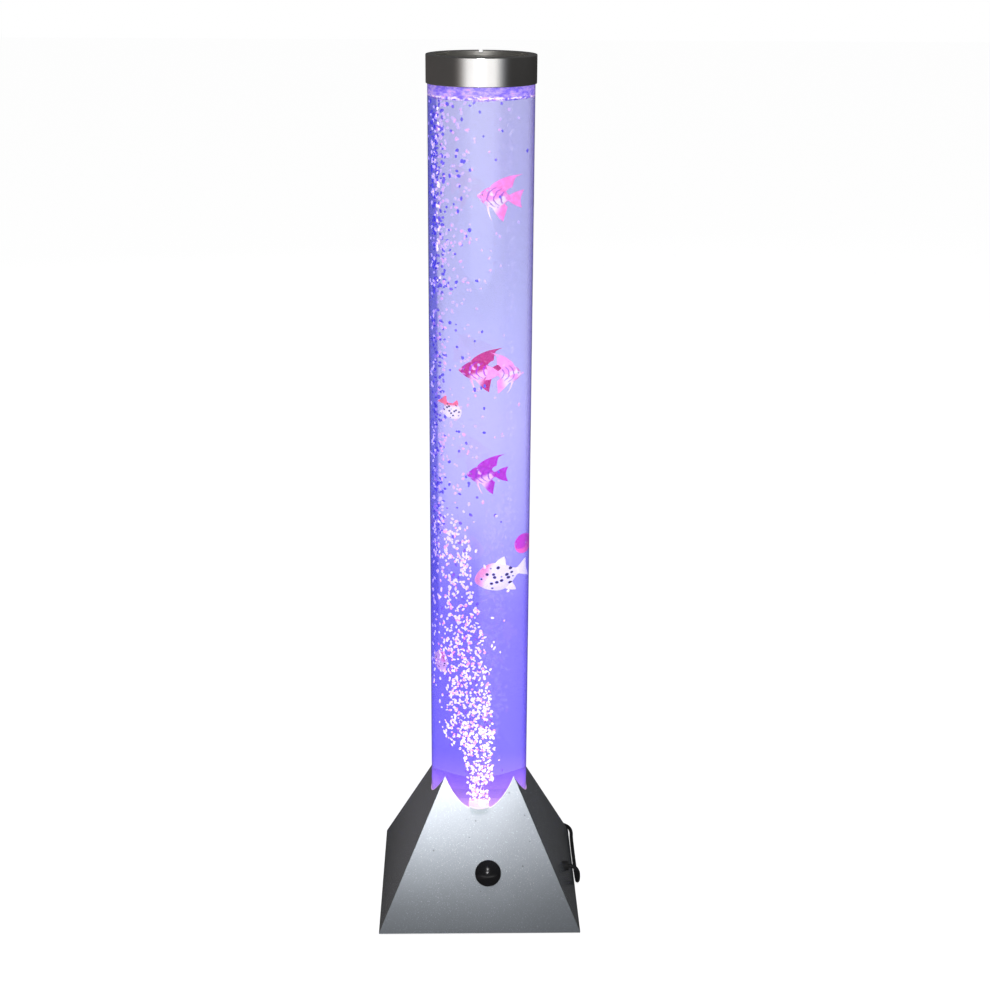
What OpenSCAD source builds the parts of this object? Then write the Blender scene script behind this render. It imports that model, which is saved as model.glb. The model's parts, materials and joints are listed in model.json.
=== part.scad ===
// Bubble tube floor lamp. A clear tube of water stands in a four-sided tapered base. An air pump in the
// base blows bubbles up past loose toy fish, and a ring of colour lights shines up through the tube's floor.
// The origin is under the middle of the feet. The button side faces -Y and the cord leaves on the +X side.

/* [Base] */
// Width of the housing at its lower edge
base_w = 207; // [195:1:240]
// Height above the lower edge at which the four faces would meet
apex_h = 219.5; // [205:0.5:250]
// Thickness of the housing's walls
wall = 2.5; // [2:0.1:3.5]
// Thickness of the bottom plate
plate_t = 3; // [2.5:0.1:4]
// Gap between the bottom plate's edge and the housing
plate_gap = 0.4; // [0.2:0.1:1]
// Height of the rubber feet
foot_h = 2; // [1:0.5:5]
// Diameter of the rubber feet
foot_d = 16; // [10:1:18]
// Distance of each foot's centre from the housing's lower edge
foot_inset = 15.5; // [14:0.5:18]
// Distance of each corner boss's centre from the housing's lower edge
boss_inset = 26; // [24:0.5:34]
// Diameter of the screw bosses
boss_d = 9; // [7:0.5:11]
// Width of the raised lip under the front notch
lip_w = 21; // [12:1:30]
// How far the lip reaches below the notch
lip_drop = 8; // [4:0.5:14]
// How far the lip stands out of the front face
lip_t = 0.8; // [0.4:0.1:1.5]

/* [Tube] */
// Outer diameter of the clear tube
tube_d = 100; // [90:1:104]
// Thickness of the tube's wall
tube_wall = 3; // [2:0.5:5]
// Length of the tube
tube_len = 782; // [600:1:1000]
// Height of the tube's lower end above the floor
tube_z = 80; // [78:1:90]
// Gap between the tube and the housing, and between the tube and what fits inside it
tube_gap = 0.3; // [0.2:0.05:0.5]
// Thickness of the tube's clear floor
floor_t = 6; // [4:0.5:10]
// How far the clear floor sits up inside the tube
floor_up = 4; // [3:0.5:8]
// Thickness of the socket ring that holds the tube
socket_wall = 2.5; // [2:0.1:4]

/* [Top cap] */
// Thickness of the cap's skirt
cap_skin = 1.2; // [0.8:0.1:2]
// Height of the cap
cap_h = 26; // [20:1:40]
// Width of the cap's raised rim
rim_w = 8; // [5:0.5:12]
// Depth of the dish inside the rim
dish_depth = 5; // [4.5:0.5:8]
// Thickness of the dish
dish_t = 1.5; // [1:0.1:3]
// Rounding of the cap's outer edges
cap_round = 1; // [0.4:0.1:1.1]
// Width of the vent notch in the back of the rim
vent_w = 4.2; // [2:0.2:8]
// Depth of the vent notch
vent_depth = 4; // [2:0.5:4]
// Thickness of the insert's flange, which lies on the tube's end
insert_t = 1.4; // [1:0.1:3]
// Length of the insert's spigot inside the tube
spigot_len = 17; // [10:1:30]
// Thickness of the insert's spigot
spigot_wall = 2.2; // [1.6:0.1:4]

/* [Lights] */
// Thickness of the cradle ring under the tube
cradle_t = 4; // [3:0.5:6]
// Width of the ledge that carries the tube's end
ledge_w = 6; // [5:0.5:7]
// Number of lamps on the light board
led_count = 12; // [6:1:18]
// Side of a lamp
led_w = 5; // [3:0.5:6]
// Height of a lamp
led_h = 1.6; // [1:0.1:3]
// Radius of the ring of lamps
led_ring_r = 30; // [22:1:36]
// Diameter of the hole in the middle of the light board
led_hole_d = 22; // [18:1:30]

/* [Air nozzle] */
// Outer diameter of the nozzle's cup
cup_d = 15; // [12:1:20]
// Height of the nozzle's cup
cup_h = 12; // [8:1:20]
// Wall of the nozzle's cup
cup_wall = 1.5; // [1:0.1:2.5]
// Diameter of the nozzle's threaded stem
stem_d = 8; // [7:0.5:10]
// Bore of the nozzle's stem
stem_bore = 3; // [2:0.5:4]
// Thickness of the rubber seal under the nozzle
seal_t = 1.5; // [1:0.1:3]
// Height of the nozzle's nut
nut_h = 4; // [3:0.5:6]

/* [Air line] */
// Outer diameter of the air hose
hose_d = 6.4; // [5:0.2:7]
// Bore of the air hose
hose_bore = 4; // [3.4:0.2:4.4]
// Height of the pump's outlet
outlet_z = 28; // [27:0.5:30]
// Height of the hose where it reaches the elbow
elbow_z = 57; // [52:0.5:58]
// Diameter of the check valve's body
valve_d = 14; // [10:0.5:15]
// Length of the check valve's body
valve_len = 18; // [14:1:20]
// Length of each hose barb
barb_len = 8; // [6:0.5:10]

/* [Button] */
// Diameter of the button's dome
button_d = 26.4; // [20:0.2:28]
// Height of the dome over its edge
dome_h = 4.5; // [2:0.5:8]
// How far the dome's edge stands out of the front face
button_proud = 1.8; // [0:0.2:4]
// Gap between the button and the hole round it
button_gap = 0.3; // [0.2:0.1:0.6]
// Travel of the button
button_travel = 2.5; // [1:0.1:3]
// Distance of the button from the middle of the front face
button_x = 8.7; // [0:0.1:12]
// Height of the button's centre above the floor
button_z = 56.7; // [50:0.1:60]
// Thickness of the button spring's wire
spring_wire = 0.9; // [0.6:0.1:1.2]
// Number of turns in the button spring
spring_turns = 6; // [4:1:8]

/* [Air pump] */
// Length of the pump's case
pump_l = 68; // [68:1:74]
// Width of the pump's case
pump_w = 44; // [44:1:50]
// Height of the pump's case without its lid
pump_h = 36; // [36:1:40]
// Thickness of the case's walls
pump_wall = 2; // [1.5:0.1:2.4]
// Thickness of the pump's lid
lid_t = 2.5; // [2:0.1:4]
// Height of the pump's rubber feet
damper_h = 4; // [2:0.5:5]
// Diameter of the pivot pin of the pump's arm
pivot_d = 3; // [2:0.1:4]
// Running gap between the arm and its pin
pivot_gap = 0.05; // [0.02:0.01:0.1]

/* [Control board] */
// Length of the board, across the base
board_l = 48; // [44:1:52]
// Width of the board, front to back
board_w = 60; // [56:1:66]
// Thickness of every circuit board
board_t = 1.6; // [1:0.1:2]
// Height of the board over the bottom plate
board_up = 6; // [4:0.5:7]

/* [Cord] */
// Diameter of the supply cord
cord_d = 4; // [3:0.1:4]
// Height of the cord's exit above the floor
cord_exit_z = 28; // [24:0.5:34]
// Distance of the cord's exit from the middle of the right face, towards the front
cord_exit_y = 17; // [10:0.5:30]
// Outer diameter of the gland's collar
gland_d = 10; // [8:0.5:14]

/* [Toy fish] */
// Body length of the pale pink angelfish near the top
pink_upper_l = 22; // [14:1:26]
// Body length of the red angelfish
red_l = 20; // [14:1:22]
// Body length of the pale pink angelfish in the middle
pink_middle_l = 21; // [14:1:23]
// Body length of the magenta angelfish
magenta_l = 19; // [14:1:21]
// Body length of the large spotted puffer
puffer_large_l = 36; // [24:1:37]
// Body length of the spotted puffer on the left
puffer_left_l = 19; // [12:1:20]
// Body length of the spotted puffer near the bottom
puffer_lower_l = 18; // [12:1:19]
// Body length of the round purple fish
discus_l = 17; // [12:1:18]
// Thickness of the fishes' fins
fin_t = 0.9; // [0.6:0.1:1.4]

/* [Hidden] */
$fn = 96;
eps = 0.01;

// Small fasteners: half widths, and the gap between a screw and its hole
screw_r = 1.45;
screw_gap = 0.05;
head_r = 2.9;
head_h = 1.6;
small_r = 1.15;
small_head_r = 2.2;
small_head_h = 1.4;

// Base
half = base_w / 2;
slope = atan(apex_h / half);
wall_x = wall / sin(slope);
bore_r = tube_d / 2 + tube_gap;
horn_z = foot_h + apex_h * (1 - bore_r / (sqrt(2) * half));
over_horn = 5;
plate_top = foot_h + plate_t;
foot_xy = half - foot_inset;
boss_xy = half - boss_inset;
base_screw_len = 10;
socket_r = bore_r + socket_wall;
cradle_screw_r = socket_r + boss_d / 2 - 0.3;
cradle_screw_len = 8;
cradle_r = cradle_screw_r + head_r + 1.6;

// Tube
tube_r = tube_d / 2;
tube_in = tube_r - tube_wall;
tube_top = tube_z + tube_len;
floor_z = tube_z + floor_up;
floor_top = floor_z + floor_t;
cradle_z = tube_z - cradle_t;
cradle_in = tube_in - ledge_w + tube_wall;
light_board_z = cradle_z - board_t;
light_board_r = tube_r;
light_screw_r = (cradle_in + light_board_r) / 2;
light_screw_len = 2.6;

// Cap
cap_in = tube_r + tube_gap;
cap_r = cap_in + cap_skin;
cap_top = tube_top + insert_t + dish_t + dish_depth;
cap_z = cap_top - cap_h;
dish_r = cap_r - rim_w;
dish_z = tube_top + insert_t;
spigot_r = tube_in - tube_gap;

// Nozzle and air line
flange_t = 2;
seal_r = cup_d / 2 + 1.5;
cup_z = floor_top + seal_t + flange_t;
cup_top = cup_z + cup_h;
stone_z = cup_z + 2.5;
stone_h = 5;
elbow_r = 6;
elbow_top = elbow_z + 9;
stem_end = elbow_z + 3;
barb_r = hose_bore / 2 - 0.05;
barb_root = 3;

// Pump
pump_x = 12;
pump_left = pump_x - pump_l;
pump_z = plate_top + damper_h;
pump_top = pump_z + pump_h;
pump_in_z = pump_z + pump_wall;
pump_in_y = pump_w / 2 - pump_wall;
pump_in_x = pump_x - pump_wall;
outlet_tip = pump_x + 1 + barb_len;
valve_in = outlet_tip + barb_root;
valve_x = valve_in + barb_len;
valve_end = valve_x + valve_len;
hose_bend = (elbow_z - outlet_z) / 2;
hose_turn_x = valve_end + barb_len;
lid_screw_in = 3.6;
lid_boss_r = 3.2;
lid_screw_len = 9;
pump_wire_x = pump_left + 16;
pump_wire_z = pump_z + pump_h - 14;
pump_wire_out = -pump_w / 2;
wire_lift = 12;
wire_bow = 13;
arm_t = 2;
arm_x = -18;
arm_y = -15.4;
arm_h = 12;
hub_r = 3.6;
pole_y = 12;
pole_w = 6;
pole_h = 10;
pole_gap = 3.4;
magnet_t = 6;
magnet_w = 9;
core_left = pump_left + pump_wall + 2;
pole_tip = arm_x - magnet_t - pole_gap;
core_y = pole_y - 12;
coil_w = 15;
coil_h = 20;
coil_l = 14;
head_l = 14;
head_w = 24;
head_tall = 24;
head_x = pump_in_x - head_l;

// Control board
board_x = 34;
board_y = -34;
board_z = plate_top + board_up;
board_top = board_z + board_t;
post_in = 4;
post_r = 3;
board_screw_len = 5;
plug_h = 6;
plug_l = 8;
plug_w = 6;
pump_plug = [board_x + 10, board_y + 14];
light_plug = [board_x + 18, board_y + 50];
switch_plug = [board_x + 26, board_y + 12];
supply_plug = [board_x + 38, board_y + 18];
wire_d = 1.4;
wire_pitch = 2.4;

// Button, measured along its own axis from the outer face
button_r = button_d / 2;
button_hole_r = button_r + button_gap;
button_y = -(half * (1 - (button_z - foot_h) / apex_h));
stop_gap = 0.3;
flange_r = button_r + 1.8;
rim_z = -wall - stop_gap;
rim_t = 2.1;
button_floor = -1;
holder_in = flange_r + 0.6;
holder_r = holder_in + 2.4;
holder_floor = -14;
holder_t = 2;
ear_r = holder_r + 3.4;
ear_t = 2;
holder_screw_len = 1.6;
stem_r = 2.5;
stem_tip = holder_floor + 1.5;
switch_w = 6;
switch_h = 3.5;
switch_tip = stem_tip - button_travel - 0.1;
switch_z = holder_floor - holder_t - switch_h;
spring_r = 5.4;

// Cord, gland and adapter
cord_r = cord_d / 2;
gland_proud = 4.76;
exit_x = face_x(cord_exit_z) + gland_proud;
gland_in = gland_d / 2 + 0.6;
gland_neck = gland_d / 2 - 1.4;
cord_points = [[exit_x, -cord_exit_y, cord_exit_z], [100.4, -17, 27.2], [104.2, -17, 24.5], [106.5, -16.8, 20.2],
    [107.1, -16.2, 15], [107, -14.2, 9.8], [106.7, -10.4, 5.4], [106.4, -4.6, 2.8], [106.2, 4, 2.1], [106, 16, 2],
    [105.9, 36, 2], [105.9, 60, 2], [106.1, 84, 2], [106.6, 98, 2], [104.6, 108, 2], [98, 115, 2.1],
    [88, 118.6, 2.4], [74, 119.8, 2.7],
    [58, 120, 2.8], [44, 120, 2.9], [30, 120, 2.9], [18, 120, 2.9]];
coil_c = [14, 148];
coil_out = 28;
coil_pitch = 4.5;
coil_z = 2.9;
coil_layers = 4;
layer_turns = 2.75;
coil_rings = 24;
coil_sides = 6;
tie_t = 0.8;
tie_w = 6;
adapter_l = 50;
adapter_w = 27;
adapter_h = 30;
adapter_gap = 34;
adapter_left = coil_c[0] - adapter_gap - adapter_l;
adapter_y = coil_c[1] - coil_out - adapter_w / 2;
adapter_entry = coil_z + (coil_layers - 1) * coil_pitch;
pin_r = 2;
pin_len = 19;
pin_pitch = 18.6;

// Places of the fish: how far each one keeps from the tube's wall, and its height
wall_keep = 5;
angle_reach = 1.35;
pink_upper_at = [10, 0, 740];
red_at = [-4, 10, 570];
pink_middle_at = [20, -10, 569];
magenta_at = [1, 0, 468];
puffer_large_at = [tube_in - wall_keep - 0.78 * puffer_large_l, -8, 362];
puffer_left_at = [-(tube_in - wall_keep - puffer_left_l), -14, 536];
puffer_lower_at = [-(tube_in - 2 * wall_keep - puffer_lower_l / 2.6), 0, 265];
discus_at = [tube_in - 2 * wall_keep - discus_l / 2.2, 14, 389];

// Cross-sections of a fish's body from nose to tail: place, half height, half width, as parts of its length
angel_body = [[0.5, 0.03, 0.03], [0.42, 0.12, 0.08], [0.27, 0.27, 0.14], [0.06, 0.38, 0.18], [-0.14, 0.36, 0.16],
    [-0.31, 0.23, 0.11], [-0.43, 0.12, 0.06], [-0.52, 0.09, 0.03]];
puffer_body = [[0.5, 0.05, 0.05], [0.42, 0.14, 0.13], [0.28, 0.23, 0.2], [0.08, 0.29, 0.24], [-0.12, 0.27, 0.21],
    [-0.3, 0.17, 0.12], [-0.42, 0.09, 0.06], [-0.5, 0.07, 0.04]];
angel_top_fin = [[0.12, 0.3], [-0.1, 0.56], [-0.42, 0.8], [-0.8, 0.97], [-0.52, 0.62], [-0.44, 0.3], [-0.34, 0.12]];
angel_low_fin = [[0, -0.3], [-0.18, -0.6], [-0.4, -0.96], [-0.36, -0.55], [-0.42, -0.3], [-0.34, -0.12]];
angel_tail = [[-0.44, 0.07], [-0.7, 0.26], [-0.92, 0.34], [-0.84, 0.1], [-0.84, -0.1], [-0.92, -0.34],
    [-0.7, -0.26], [-0.44, -0.07]];
angel_feeler = [[0.2, -0.26], [0.12, -0.6], [-0.04, -0.94], [0.04, -0.56], [0.08, -0.28]];
puffer_top_fin = [[0, 0.24], [-0.12, 0.38], [-0.3, 0.42], [-0.28, 0.3], [-0.26, 0.12]];
puffer_tail = [[-0.44, 0.05], [-0.62, 0.17], [-0.82, 0.23], [-0.77, 0.08], [-0.77, -0.08], [-0.82, -0.23],
    [-0.62, -0.17], [-0.44, -0.05]];
side_fin = [[0, 0.05], [-0.12, 0.13], [-0.22, 0.08], [-0.24, -0.06], [-0.12, -0.1], [0, -0.04]];
fish_sides = 12;

// ---------- helpers ----------

// Distance of the housing's outer face from the axis at a height
function face_x(z) = half * (1 - (z - foot_h) / apex_h);

// Distance of the housing's inner face from the axis at a height
function inner_x(z) = face_x(z) - wall_x;

function unit(v) = v / norm(v);

// A point on the smooth curve through p1 and p2
function curve_point(p0, p1, p2, p3, t) = 0.5 * (2 * p1 + (p2 - p0) * t
    + (2 * p0 - 5 * p1 + 4 * p2 - p3) * t * t + (3 * p1 - p0 - 3 * p2 + p3) * t * t * t);

// The smooth curve through a list of points, in a number of steps between each two
function smooth(p, steps) = let (n = len(p) - 1)
    [for (i = [0 : n - 1]) for (s = [0 : steps - 1])
        curve_point(p[max(i - 1, 0)], p[i], p[i + 1], p[min(i + 2, n)], s / steps), p[n]];

// Direction of a line of points at one of them
function heading(p, i) = unit(p[min(i + 1, len(p) - 1)] - p[max(i - 1, 0)]);

// A direction square to a heading, kept level where it can be
function side_of(h) = abs(h[2]) < 0.98 ? unit(cross(h, [0, 0, 1])) : unit(cross(h, [0, 1, 0]));

function path_length(p) = len(p) < 2 ? 0 : sum_steps(p, 0);
function sum_steps(p, i) = i > len(p) - 2 ? 0 : norm(p[i + 1] - p[i]) + sum_steps(p, i + 1);

// The triangles of a closed skin over rings of points
function skin_faces(rings, sides) = concat(
    [for (i = [0 : rings - 2]) for (k = [0 : sides - 1]) let (a = i * sides + k, b = i * sides + (k + 1) % sides)
        each [[a, b, a + sides], [b, b + sides, a + sides]]],
    [for (k = [1 : sides - 2]) [0, k + 1, k]],
    [for (k = [1 : sides - 2]) let (e = (rings - 1) * sides) [e, e + k, e + k + 1]]);

// A direction carried along a line of points without twist, square to the line at each of them
function carried(p, i, v) = i == len(p) ? [] : let (h = heading(p, i), s = unit(v - (v * h) * h))
    concat([s], carried(p, i + 1, s));

// A round bar of flat sides along a line of points
module bar(p, r, sides) {
    across = carried(p, 0, side_of(heading(p, 0)));
    points = [for (i = [0 : len(p) - 1]) let (s = across[i], u = cross(s, heading(p, i)))
        for (k = [0 : sides - 1]) let (a = 360 * (k + 0.5) / sides) p[i] + r * (cos(a) * s + sin(a) * u)];
    polyhedron(points, skin_faces(len(p), sides), convexity = 10);
}

// Four copies, one at each corner of a square or a rectangle
module corners(x, y) {
    for (i = [-1, 1], j = [-1, 1]) translate([i * x, j * y, 0]) children();
}

// Copies in a ring
module ring_of(n, r, turn = 0) {
    for (i = [0 : n - 1]) rotate(turn + 360 * i / n) translate([r, 0, 0]) children();
}

// A straight wedge across the base, with its half widths at two heights
module wedge(inset, z0, z1) {
    rotate([90, 0, 0]) linear_extrude(base_w + 20, center = true) polygon([
        [inset - face_x(z0), z0], [face_x(z0) - inset, z0], [face_x(z1) - inset, z1], [inset - face_x(z1), z1]]);
}

// The four-sided taper of the base, set in by a distance along the floor
module taper(inset, z0, z1) {
    intersection() {
        wedge(inset, z0, z1);
        rotate(90) wedge(inset, z0, z1);
    }
}

// A ring standing on a height
module pipe(outer, inner, z, h) {
    translate([0, 0, z]) difference() {
        cylinder(r = outer, h = h);
        translate([0, 0, -eps]) cylinder(r = inner, h = h + 2 * eps);
    }
}

// A screw with its head's underside at z = 0, its shank pointing down
module screw(r, len, head, head_t) {
    translate([0, 0, -len]) cylinder(r = r, h = len + eps, $fn = 24);
    cylinder(r = head, h = head_t, $fn = 32);
}

// The same with a cross cut in its head
module cross_screw(r, len, head, head_t) {
    difference() {
        screw(r, len, head, head_t);
        for (a = [0, 90]) rotate(a) translate([-head * 0.6, -0.35, head_t * 0.45])
            cube([head * 1.2, 0.7, head_t]);
    }
}

// The front face's own frame, with +Z out of the face at the button
module at_button() {
    translate([button_x, button_y, button_z]) rotate([slope, 0, 0]) children();
}

// The frame of the cord's exit, with +Z along +X
module at_exit(x) {
    translate([x, -cord_exit_y, cord_exit_z]) rotate([0, 90, 0]) children();
}

// ---------- base ----------

module base_housing() {
    color("silver") difference() {
        union() {
            difference() {
                taper(0, foot_h, horn_z + over_horn);
                taper(wall_x, foot_h - eps, horn_z + over_horn + eps);
            }
            intersection() {
                union() {
                    translate([0, 0, tube_z]) cylinder(r = socket_r, h = horn_z - tube_z + over_horn);
                    ring_of(4, cradle_screw_r, 45) translate([0, 0, tube_z])
                        cylinder(d = boss_d, h = horn_z - tube_z + over_horn);
                    corners(boss_xy, boss_xy) translate([0, 0, plate_top]) cylinder(d = boss_d, h = horn_z);
                }
                taper(wall_x / 2, foot_h, horn_z + over_horn);
            }
            notch_lip();
        }
        translate([0, 0, tube_z - eps]) cylinder(r = bore_r, h = horn_z);
        at_button() translate([0, 0, -3 * wall]) cylinder(r = button_hole_r, h = 6 * wall);
        at_button() for (i = [-1, 1]) translate([i * (ear_r - 0.4), 0, -wall - eps])
            cylinder(r = small_r + screw_gap, h = holder_screw_len + 0.2, $fn = 24);
        at_exit(exit_x - 20) cylinder(r = gland_neck + screw_gap, h = 30, $fn = 48);
        corners(boss_xy, boss_xy) translate([0, 0, plate_top - eps])
            cylinder(r = screw_r + screw_gap, h = base_screw_len, $fn = 24);
        ring_of(4, cradle_screw_r, 45) translate([0, 0, tube_z - eps])
            cylinder(r = screw_r + screw_gap, h = cradle_screw_len, $fn = 24);
    }
}

// The small raised lip under the front notch, flush with the front face's slope
module notch_lip() {
    notch_z = foot_h + apex_h * (1 - bore_r / half);
    translate([0, -face_x(notch_z), notch_z]) rotate([slope, 0, 0]) translate([0, 0, -wall / 2])
        linear_extrude(wall / 2 + lip_t) hull() {
            translate([-lip_w / 2, 0]) square([lip_w, lip_drop / 2]);
            for (i = [-1, 1]) translate([i * (lip_w / 2 - lip_drop / 2), -lip_drop / 2])
                circle(d = lip_drop, $fn = 32);
        }
}

module bottom_plate() {
    side = 2 * (inner_x(plate_top) - plate_gap);
    color("dimgray") difference() {
        union() {
            translate([-side / 2, -side / 2, foot_h]) cube([side, side, plate_t]);
            board_posts() cylinder(r = post_r, h = board_up + eps, $fn = 32);
        }
        corners(boss_xy, boss_xy) {
            translate([0, 0, foot_h - eps]) cylinder(r = screw_r + 0.2, h = plate_t + 1, $fn = 24);
            translate([0, 0, foot_h - eps]) cylinder(r = head_r + 0.4, h = head_h + 0.2 + eps, $fn = 32);
        }
        board_posts() translate([0, 0, 1]) cylinder(r = small_r + screw_gap, h = board_up, $fn = 24);
        for (i = [-3 : 3]) translate([i * 9 - 1.5, 50, foot_h - 1]) cube([3, 26, plate_t + 2]);
    }
}

module board_posts() {
    for (x = [post_in, board_l - post_in], y = [post_in, board_w - post_in])
        translate([board_x + x, board_y + y, plate_top - eps]) children();
}

module rubber_feet() {
    color([0.08, 0.08, 0.08]) corners(foot_xy, foot_xy) cylinder(d = foot_d, h = foot_h, $fn = 48);
}

module base_screws() {
    color("gray") corners(boss_xy, boss_xy) translate([0, 0, foot_h + head_h + 0.2]) mirror([0, 0, 1])
        cross_screw(screw_r, plate_t - head_h - 0.2 + base_screw_len - 1, head_r, head_h);
}

// ---------- tube ----------

module tube() {
    color([0.75, 0.7, 1, 0.35]) pipe(tube_r, tube_in, tube_z, tube_len);
}

module tube_floor() {
    color([0.8, 0.8, 1, 0.6]) pipe(tube_in - screw_gap, stem_d / 2 + screw_gap, floor_z, floor_t);
}

module tube_cradle() {
    color("whitesmoke") difference() {
        intersection() {
            pipe(cradle_r, cradle_in, cradle_z, cradle_t);
            taper(wall_x + plate_gap, cradle_z - 1, tube_z + 1);
        }
        ring_of(4, cradle_screw_r, 45) translate([0, 0, cradle_z - 1]) cylinder(r = screw_r + 0.2, h = cradle_t + 2,
            $fn = 24);
        ring_of(3, light_screw_r) translate([0, 0, cradle_z - eps])
            cylinder(r = small_r + screw_gap, h = light_screw_len - board_t + 0.6, $fn = 24);
    }
}

module cradle_screws() {
    color("gray") ring_of(4, cradle_screw_r, 45) translate([0, 0, cradle_z]) mirror([0, 0, 1])
        cross_screw(screw_r, cradle_t + cradle_screw_len - 1, head_r, head_h);
}

// ---------- lights ----------

module light_board() {
    color("darkgreen") difference() {
        pipe(light_board_r, led_hole_d / 2, light_board_z, board_t);
        ring_of(3, light_screw_r) translate([0, 0, light_board_z - 1]) cylinder(r = small_r + 0.15, h = board_t + 2,
            $fn = 24);
    }
}

module lamps() {
    color("lightyellow") ring_of(led_count, led_ring_r) translate([-led_w / 2, -led_w / 2, cradle_z])
        cube([led_w, led_w, led_h]);
}

module light_board_screws() {
    color("gray") ring_of(3, light_screw_r) translate([0, 0, light_board_z]) mirror([0, 0, 1])
        cross_screw(small_r, light_screw_len, small_head_r, small_head_h);
}

// ---------- air nozzle ----------

module air_nozzle() {
    color([0.9, 0.92, 1]) rotate_extrude() polygon([
        [stem_bore / 2, stem_end], [stem_d / 2, stem_end], [stem_d / 2, cup_z - flange_t], [seal_r, cup_z - flange_t],
        [seal_r, cup_z], [cup_d / 2, cup_z], [cup_d / 2, cup_top], [cup_d / 2 - cup_wall, cup_top],
        [cup_d / 2 - cup_wall, stone_z], [stem_bore / 2, stone_z]]);
}

module nozzle_seal() {
    color("black") pipe(seal_r, stem_d / 2 + screw_gap, floor_top, seal_t);
}

module nozzle_nut() {
    color("white") translate([0, 0, floor_z - nut_h]) difference() {
        cylinder(r = stem_d * 0.92, h = nut_h, $fn = 6);
        translate([0, 0, -eps]) cylinder(r = stem_d / 2 + screw_gap, h = nut_h + 2 * eps);
    }
}

module air_stone() {
    color("lightblue") translate([0, 0, stone_z]) cylinder(r = cup_d / 2 - cup_wall - screw_gap, h = stone_h);
}

module air_elbow() {
    color("whitesmoke") difference() {
        union() {
            translate([0, 0, elbow_z - 5]) cylinder(r = elbow_r, h = elbow_top - elbow_z + 5);
            translate([0, 0, elbow_z]) rotate([0, 90, 0]) cylinder(r = barb_r, h = elbow_r + barb_len);
        }
        translate([0, 0, stem_end - 0.2]) cylinder(r = stem_d / 2 + screw_gap, h = elbow_top - stem_end + 1);
        translate([0, 0, elbow_z - 1]) cylinder(d = stem_bore, h = 9, $fn = 32);
        translate([0, 0, elbow_z]) rotate([0, 90, 0]) cylinder(d = 2, h = 40, $fn = 32);
    }
}

// A straight length of hose along +X
module hose_run(x0, x1, z) {
    translate([x0, 0, z]) rotate([0, 90, 0]) difference() {
        cylinder(d = hose_d, h = x1 - x0, $fn = 48);
        translate([0, 0, -eps]) cylinder(d = hose_bore, h = x1 - x0 + 2 * eps, $fn = 48);
    }
}

module upper_air_hose() {
    color([0.85, 0.9, 0.95, 0.7]) {
        hose_run(valve_end + 0.3, hose_turn_x, outlet_z);
        hose_run(elbow_r + 0.3, hose_turn_x, elbow_z);
        translate([hose_turn_x, 0, outlet_z + hose_bend]) rotate([90, 0, 0]) rotate([0, 0, -90])
            rotate_extrude(angle = 180) translate([hose_bend, 0]) difference() {
                circle(d = hose_d, $fn = 48);
                circle(d = hose_bore, $fn = 48);
            }
    }
}

module lower_air_hose() {
    color([0.85, 0.9, 0.95, 0.7]) hose_run(pump_x + 1.3, valve_x - 0.3, outlet_z);
}

module check_valve() {
    color("white") translate([0, 0, outlet_z]) rotate([0, 90, 0]) difference() {
        union() {
            translate([0, 0, valve_x]) cylinder(d = valve_d, h = valve_len);
            translate([0, 0, valve_x + valve_len / 2 - 1.5]) cylinder(d = valve_d + 2, h = 3);
            translate([0, 0, valve_in]) cylinder(r = barb_r, h = valve_len + 2 * barb_len);
        }
        translate([0, 0, valve_in - 1]) cylinder(d = 2, h = valve_len + 2 * barb_len + 2, $fn = 32);
    }
}

// ---------- button ----------

module button_cap() {
    dome_r = (button_r * button_r + dome_h * dome_h) / (2 * dome_h);
    edge = button_proud;
    color([0.03, 0.03, 0.03]) at_button() difference() {
        union() {
            intersection() {
                translate([0, 0, edge + dome_h - dome_r]) sphere(r = dome_r, $fn = 128);
                translate([0, 0, edge]) cylinder(r = button_r, h = dome_h + 1);
            }
            translate([0, 0, rim_z]) cylinder(r = button_r, h = edge - rim_z + eps);
            translate([0, 0, rim_z - rim_t]) cylinder(r = flange_r, h = rim_t);
        }
        translate([0, 0, rim_z - rim_t - eps]) difference() {
            cylinder(r = button_r - 1.6, h = button_floor - rim_z + rim_t);
        }
    }
    color([0.03, 0.03, 0.03]) at_button() translate([0, 0, stem_tip]) cylinder(r = stem_r,
        h = button_floor - stem_tip + 0.5, $fn = 32);
}

module button_spring() {
    top = button_floor - spring_wire / 2 - 0.15;
    low = holder_floor + spring_wire / 2 + 0.15;
    steps = 14;
    n = spring_turns * steps;
    path = [for (i = [0 : n]) let (a = 360 * i / steps)
        [spring_r * cos(a), spring_r * sin(a), low + (top - low) * i / n]];
    color("silver") at_button() bar(path, spring_wire / 2, 6);
}

module button_holder() {
    color("dimgray") at_button() difference() {
        union() {
            translate([0, 0, holder_floor - holder_t]) cylinder(r = holder_r, h = -wall - holder_floor + holder_t);
            hull() for (i = [-1, 1]) translate([i * (ear_r - 0.4), 0, -wall - ear_t])
                cylinder(r = 3.4, h = ear_t, $fn = 32);
            for (i = [-1, 1]) translate([i * 9, 0, switch_z]) cylinder(r = 2, h = switch_h + eps, $fn = 32);
            for (i = [-1, 1]) translate([i * 9, 0, switch_z - board_t - 0.8])
                cylinder(r = 1.2, h = board_t + 1, $fn = 24);
        }
        translate([0, 0, holder_floor]) cylinder(r = holder_in, h = 20);
        translate([0, 0, holder_floor - holder_t - 1]) cylinder(r = stem_r + 0.5, h = holder_t + 2, $fn = 32);
        for (i = [-1, 1]) translate([i * (ear_r - 0.4), 0, -wall - ear_t - 1])
            cylinder(r = small_r + 0.15, h = ear_t + 2, $fn = 24);
    }
}

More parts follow.
